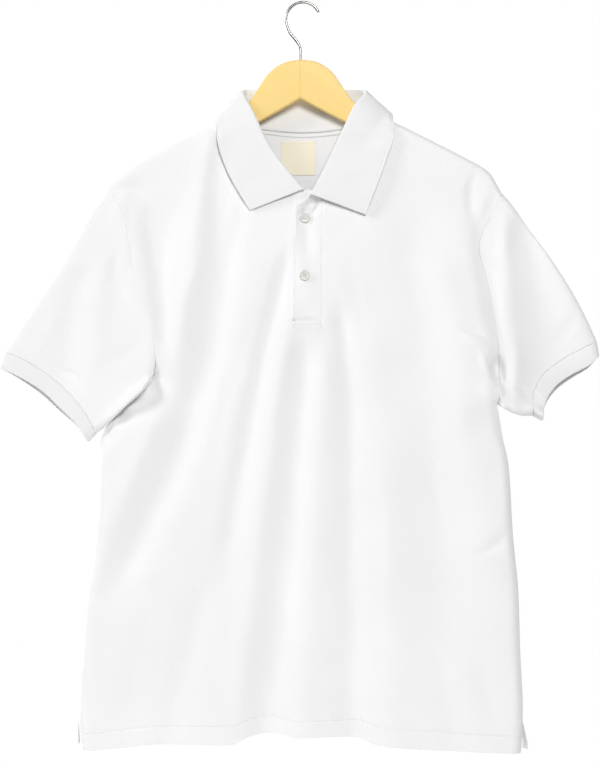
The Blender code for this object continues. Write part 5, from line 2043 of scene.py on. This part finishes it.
@dataclass
class Hanger:
    """The flat wooden board in two glued halves, and the bent wire hook."""

    thick: float = 12.0
    round_edge: float = 2.4
    tilt: float = 1.2
    arm: float = 196.0
    tip: float = 8.0
    sections: int = 150
    corner_steps: int = 7
    joint_half: float = 0.5
    joint_deep: float = 0.35
    wire: float = 3.0
    hook_radius: float = 19.5
    tip_turn: float = 62.0
    back_turn: float = 100.0
    stem_end: float = 79.6
    grain_jump: float = 900.0
    wire_points: int = 260
    wire_sides: int = 24
    ball_rings: int = 8

    def outs(self) -> Array:
        """Places along the board from tip to tip, close together at the joint and the tips."""
        half = np.concatenate(
            [
                [0.0, 0.2, 0.4, 0.6],
                np.linspace(1.4, self.arm, self.sections // 2),
                self.arm + self.tip * np.sin(np.radians(np.linspace(6, 89, 14))),
            ]
        )
        return np.concatenate([-half[:0:-1], half])

    def board(self) -> tuple[Array, Array]:
        """Sections of the board: rounded rectangles between its top and under edges.

        A section's corner points are its corner's centre plus a circle of the edge's radius, and
        both edges close on a half circle at the tips.

        Returns:
            Rings of points and their places along and across the grain, in metres.
        """
        out = self.outs()
        away = np.minimum(abs(out), self.arm)
        top = smooth_curve(BOARD_TOP["out"], BOARD_TOP["drop"], away)
        under = smooth_curve(BOARD_UNDER["out"], BOARD_UNDER["drop"], away)
        past = np.clip((abs(out) - self.arm) / self.tip, 0, 1)
        middle, half = (top + under) / 2, (under - top) / 2 * np.sqrt(1 - past**2)
        joint = self.joint_deep * np.exp(-((out / self.joint_half) ** 2))
        deep = self.thick / 2 - joint - 2.0 * past**6
        radius = np.minimum(self.round_edge, half * 0.98)
        quarters = [np.linspace(a, a + 90, self.corner_steps) for a in (0, 90, 180, 270)]
        over = np.repeat([1, -1, -1, 1], self.corner_steps)
        high = np.repeat([1, 1, -1, -1], self.corner_steps)
        angle = np.radians(np.concatenate(quarters))
        y = over * (deep - radius)[:, None] + radius[:, None] * np.cos(angle)
        rise = high * (half - radius)[:, None] + radius[:, None] * np.sin(angle)
        tilt = math.radians(self.tilt)
        x = STEM_X + out * math.cos(tilt)
        z = -(CROWN_DROP + middle[:, None] - rise) + (out * math.sin(tilt))[:, None]
        points = np.stack([np.repeat(x[:, None], len(angle), 1), y, z], axis=-1)
        slope = np.gradient(middle, out)
        run = passed(np.stack([out, middle], 1))
        jumped = run + np.where(out > 0, self.grain_jump, 0.0)
        along_grain = jumped[:, None] + rise * slope[:, None] * 0.5
        grain = np.stack([along_grain, rise + y * 0.7], axis=-1) * MM
        return points, grain

    def build_board(self, finishes: Finishes) -> None:
        """Makes the board with its grain map."""
        points, grain = self.board()
        rings, around = points.shape[:2]
        faces = tube_faces(rings, around)
        flat = grain.reshape(-1, 2)[faces]
        board = mesh_object("hanger_board", points.reshape(-1, 3), faces, flat)
        close_ends(board)
        dress(board, finishes.maple, Slot.WOOD, "hanger")

    def wire_line(self) -> Array:
        """The wire's middle line: an arc over the crown, then the bend down to the stem."""
        centre = self.hook_radius - self.wire / 2
        turns = np.radians(np.linspace(self.tip_turn, -self.back_turn, 60))
        arc = np.stack(
            [self.hook_radius * np.sin(turns), centre - self.hook_radius * np.cos(turns)], 1
        )
        bend = np.stack([HOOK_BEND["x"], HOOK_BEND["drop"]], 1)
        knots = np.concatenate([arc, bend, [[STEM_X, self.stem_end]]])
        run = passed(knots)
        at = np.linspace(0, run[-1], self.wire_points)
        return np.stack([smooth_curve(run, knots[:, k], at) for k in (0, 1)], 1)

    def build_hook(self, finishes: Finishes) -> None:
        """Makes the wire as rings across its line, with a round tip.

        Each ring is a circle in the plane of the line's normal and Y, and the rings of the tip
        shrink as a half ball does.
        """
        line = self.wire_line()
        way = unit(np.gradient(line, axis=0))
        radius = self.wire / 2
        turn = np.radians(np.linspace(88, 0, self.ball_rings))
        ball = line[0] - way[0] * (radius * np.sin(turn))[:, None]
        line = np.concatenate([ball[:-1], line])
        way = np.concatenate([np.tile(way[0], (len(ball) - 1, 1)), way])
        full = np.full(len(line) - len(ball) + 1, radius)
        size = np.concatenate([radius * np.cos(turn)[:-1], full])
        around = np.arange(self.wire_sides) * 2 * math.pi / self.wire_sides
        across = np.stack([-way[:, 1], way[:, 0]], 1)
        x = line[:, 0, None] + across[:, 0, None] * size[:, None] * np.cos(around)
        drop = line[:, 1, None] + across[:, 1, None] * size[:, None] * np.cos(around)
        y = size[:, None] * np.sin(around) + 0 * x
        points = np.stack([x, y, -drop], axis=-1)
        faces = tube_faces(len(line), len(around))
        places = np.stack(
            np.broadcast_arrays(around[None] * radius, passed(line)[:, None]), axis=-1
        ) * MM
        hook = mesh_object("hook_wire", points.reshape(-1, 3), faces, places.reshape(-1, 2)[faces])
        close_ends(hook)
        dress(hook, finishes.chrome, Slot.CHROME, "hook")

    def build(self, finishes: Finishes) -> None:
        """Makes the board and the hook."""
        self.build_board(finishes)
        self.build_hook(finishes)


@dataclass
class Studio:
    """A white floor, soft even light with a broad key from the upper left, and the camera."""

    floor_drop: float = 1150.0
    floor_half: float = 1300.0
    backdrop: float = 1.0
    sky: float = 0.19
    view_x: float = -3.4
    view_drop: float = 432.6
    distance: float = 2200.0
    frame_tall: float = 873.24

    def lay_floor(self) -> None:
        """One large square of white paper below the shirt."""
        h, z = self.floor_half, -self.floor_drop
        corners = np.array([(-h, -h, z), (h, -h, z), (h, h, z), (-h, h, z)])
        floor = mesh_object("studio_floor", corners, np.array([[0, 1, 2, 3]]))
        floor.data.materials.append(StudioPaper().build())

    def light(self) -> None:
        """Even white light from a white backdrop, which is seen brighter, and the key."""
        world = bpy.data.worlds.new("studio")
        world.use_nodes = True
        tree = world.node_tree
        white = (1.0, 1.0, 1.0, 1.0)
        lit = add_node(tree, "ShaderNodeBackground", dict(Color=white, Strength=self.sky))
        seen = add_node(tree, "ShaderNodeBackground", dict(Color=white, Strength=self.backdrop))
        ray = add_node(tree, "ShaderNodeLightPath")
        both = add_node(
            tree,
            "ShaderNodeMixShader",
            links={0: ray.outputs["Is Camera Ray"], 1: lit.outputs[0], 2: seen.outputs[0]},
        )
        tree.links.new(both.outputs[0], tree.nodes["World Output"].inputs["Surface"])
        bpy.context.scene.world = world
        self.add_lamp("key", 32.0, 1.0, (-2.4, -0.85, 1.0))
        self.add_lamp("front_fill", 52.0, 1.0, (0.42, -2.55, 0.8))
        self.add_lamp("left_rim", 42.0, 1.8, (-1.5, 1.3, 0.3))
        self.add_lamp("right_rim", 12.0, 1.8, (1.5, 1.3, 0.3))

    @staticmethod
    def add_lamp(name: str, watts: float, size: float, place: tuple[float, float, float]) -> None:
        """A round soft lamp, turned to the middle of the shirt."""
        lamp = bpy.data.lights.new(name, "AREA")
        lamp.energy = watts
        lamp.shape = "DISK"
        lamp.size = size
        holder = bpy.data.objects.new(name, lamp)
        aim = Vector((0.0, 0.0, -0.42)) - Vector(place)
        holder.location = place
        holder.rotation_euler = aim.to_track_quat("-Z", "Y").to_euler()
        bpy.context.scene.collection.objects.link(holder)

    def set_camera(self) -> None:
        """A level camera in front, whose frame takes in the photograph's height."""
        data = bpy.data.cameras.new("camera")
        data.sensor_width = 36.0
        data.lens = 36.0 * self.distance / self.frame_tall
        camera = bpy.data.objects.new("camera", data)
        camera.location = (self.view_x * MM, -self.distance * MM, -self.view_drop * MM)
        camera.rotation_euler = (math.pi / 2, 0.0, 0.0)
        bpy.context.scene.collection.objects.link(camera)
        bpy.context.scene.camera = camera

    def build(self) -> None:
        """Sets the whole studio up."""
        self.set_camera()
        self.lay_floor()
        self.light()
        bpy.context.scene.view_settings.view_transform = "Standard"


def main() -> None:
    """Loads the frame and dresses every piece."""
    logging.basicConfig(level=logging.INFO, format="%(message)s")
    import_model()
    Studio().build()
    finishes = Finishes()
    front = BodyForm(Side.FRONT, "front", FRONT_FOLDS, FRONT_PITS, FRONT_CREASES, WELLS)
    back = BodyForm(Side.BACK, "back", BACK_FOLDS, BACK_PITS, BACK_CREASES, NO_PITS)
    BodyPanel(
        "front_panel", front, NECK_FRONT, HEM_FRONT, 2.7, 3.1, True, (0.52, 0.73), 0.32
    ).build(finishes)
    BodyPanel(
        "back_panel", back, NECK_BACK, HEM_BACK, 3.2, 3.8, False, (0.52, 0.73), 0.33
    ).build(finishes)
    Sleeve(End.LEFT, front, back, (0.5, 0.22), 0.055, (0.31, 0.025), 0.0062).build(finishes)
    Sleeve(End.RIGHT, front, back, (0.47, 0.2), 0.042, (0.25, 0.022), 0.0051).build(finishes)
    Collar(front, back).build(finishes)
    placket = Placket(front)
    placket.build(finishes)
    for number, drop in enumerate(BUTTON_DROPS, start=1):
        Button(f"button_{number}", drop, placket).build(finishes)
    NeckTrim(back).build(finishes)
    Hanger().build(finishes)


if __name__ == "__main__":
    main()
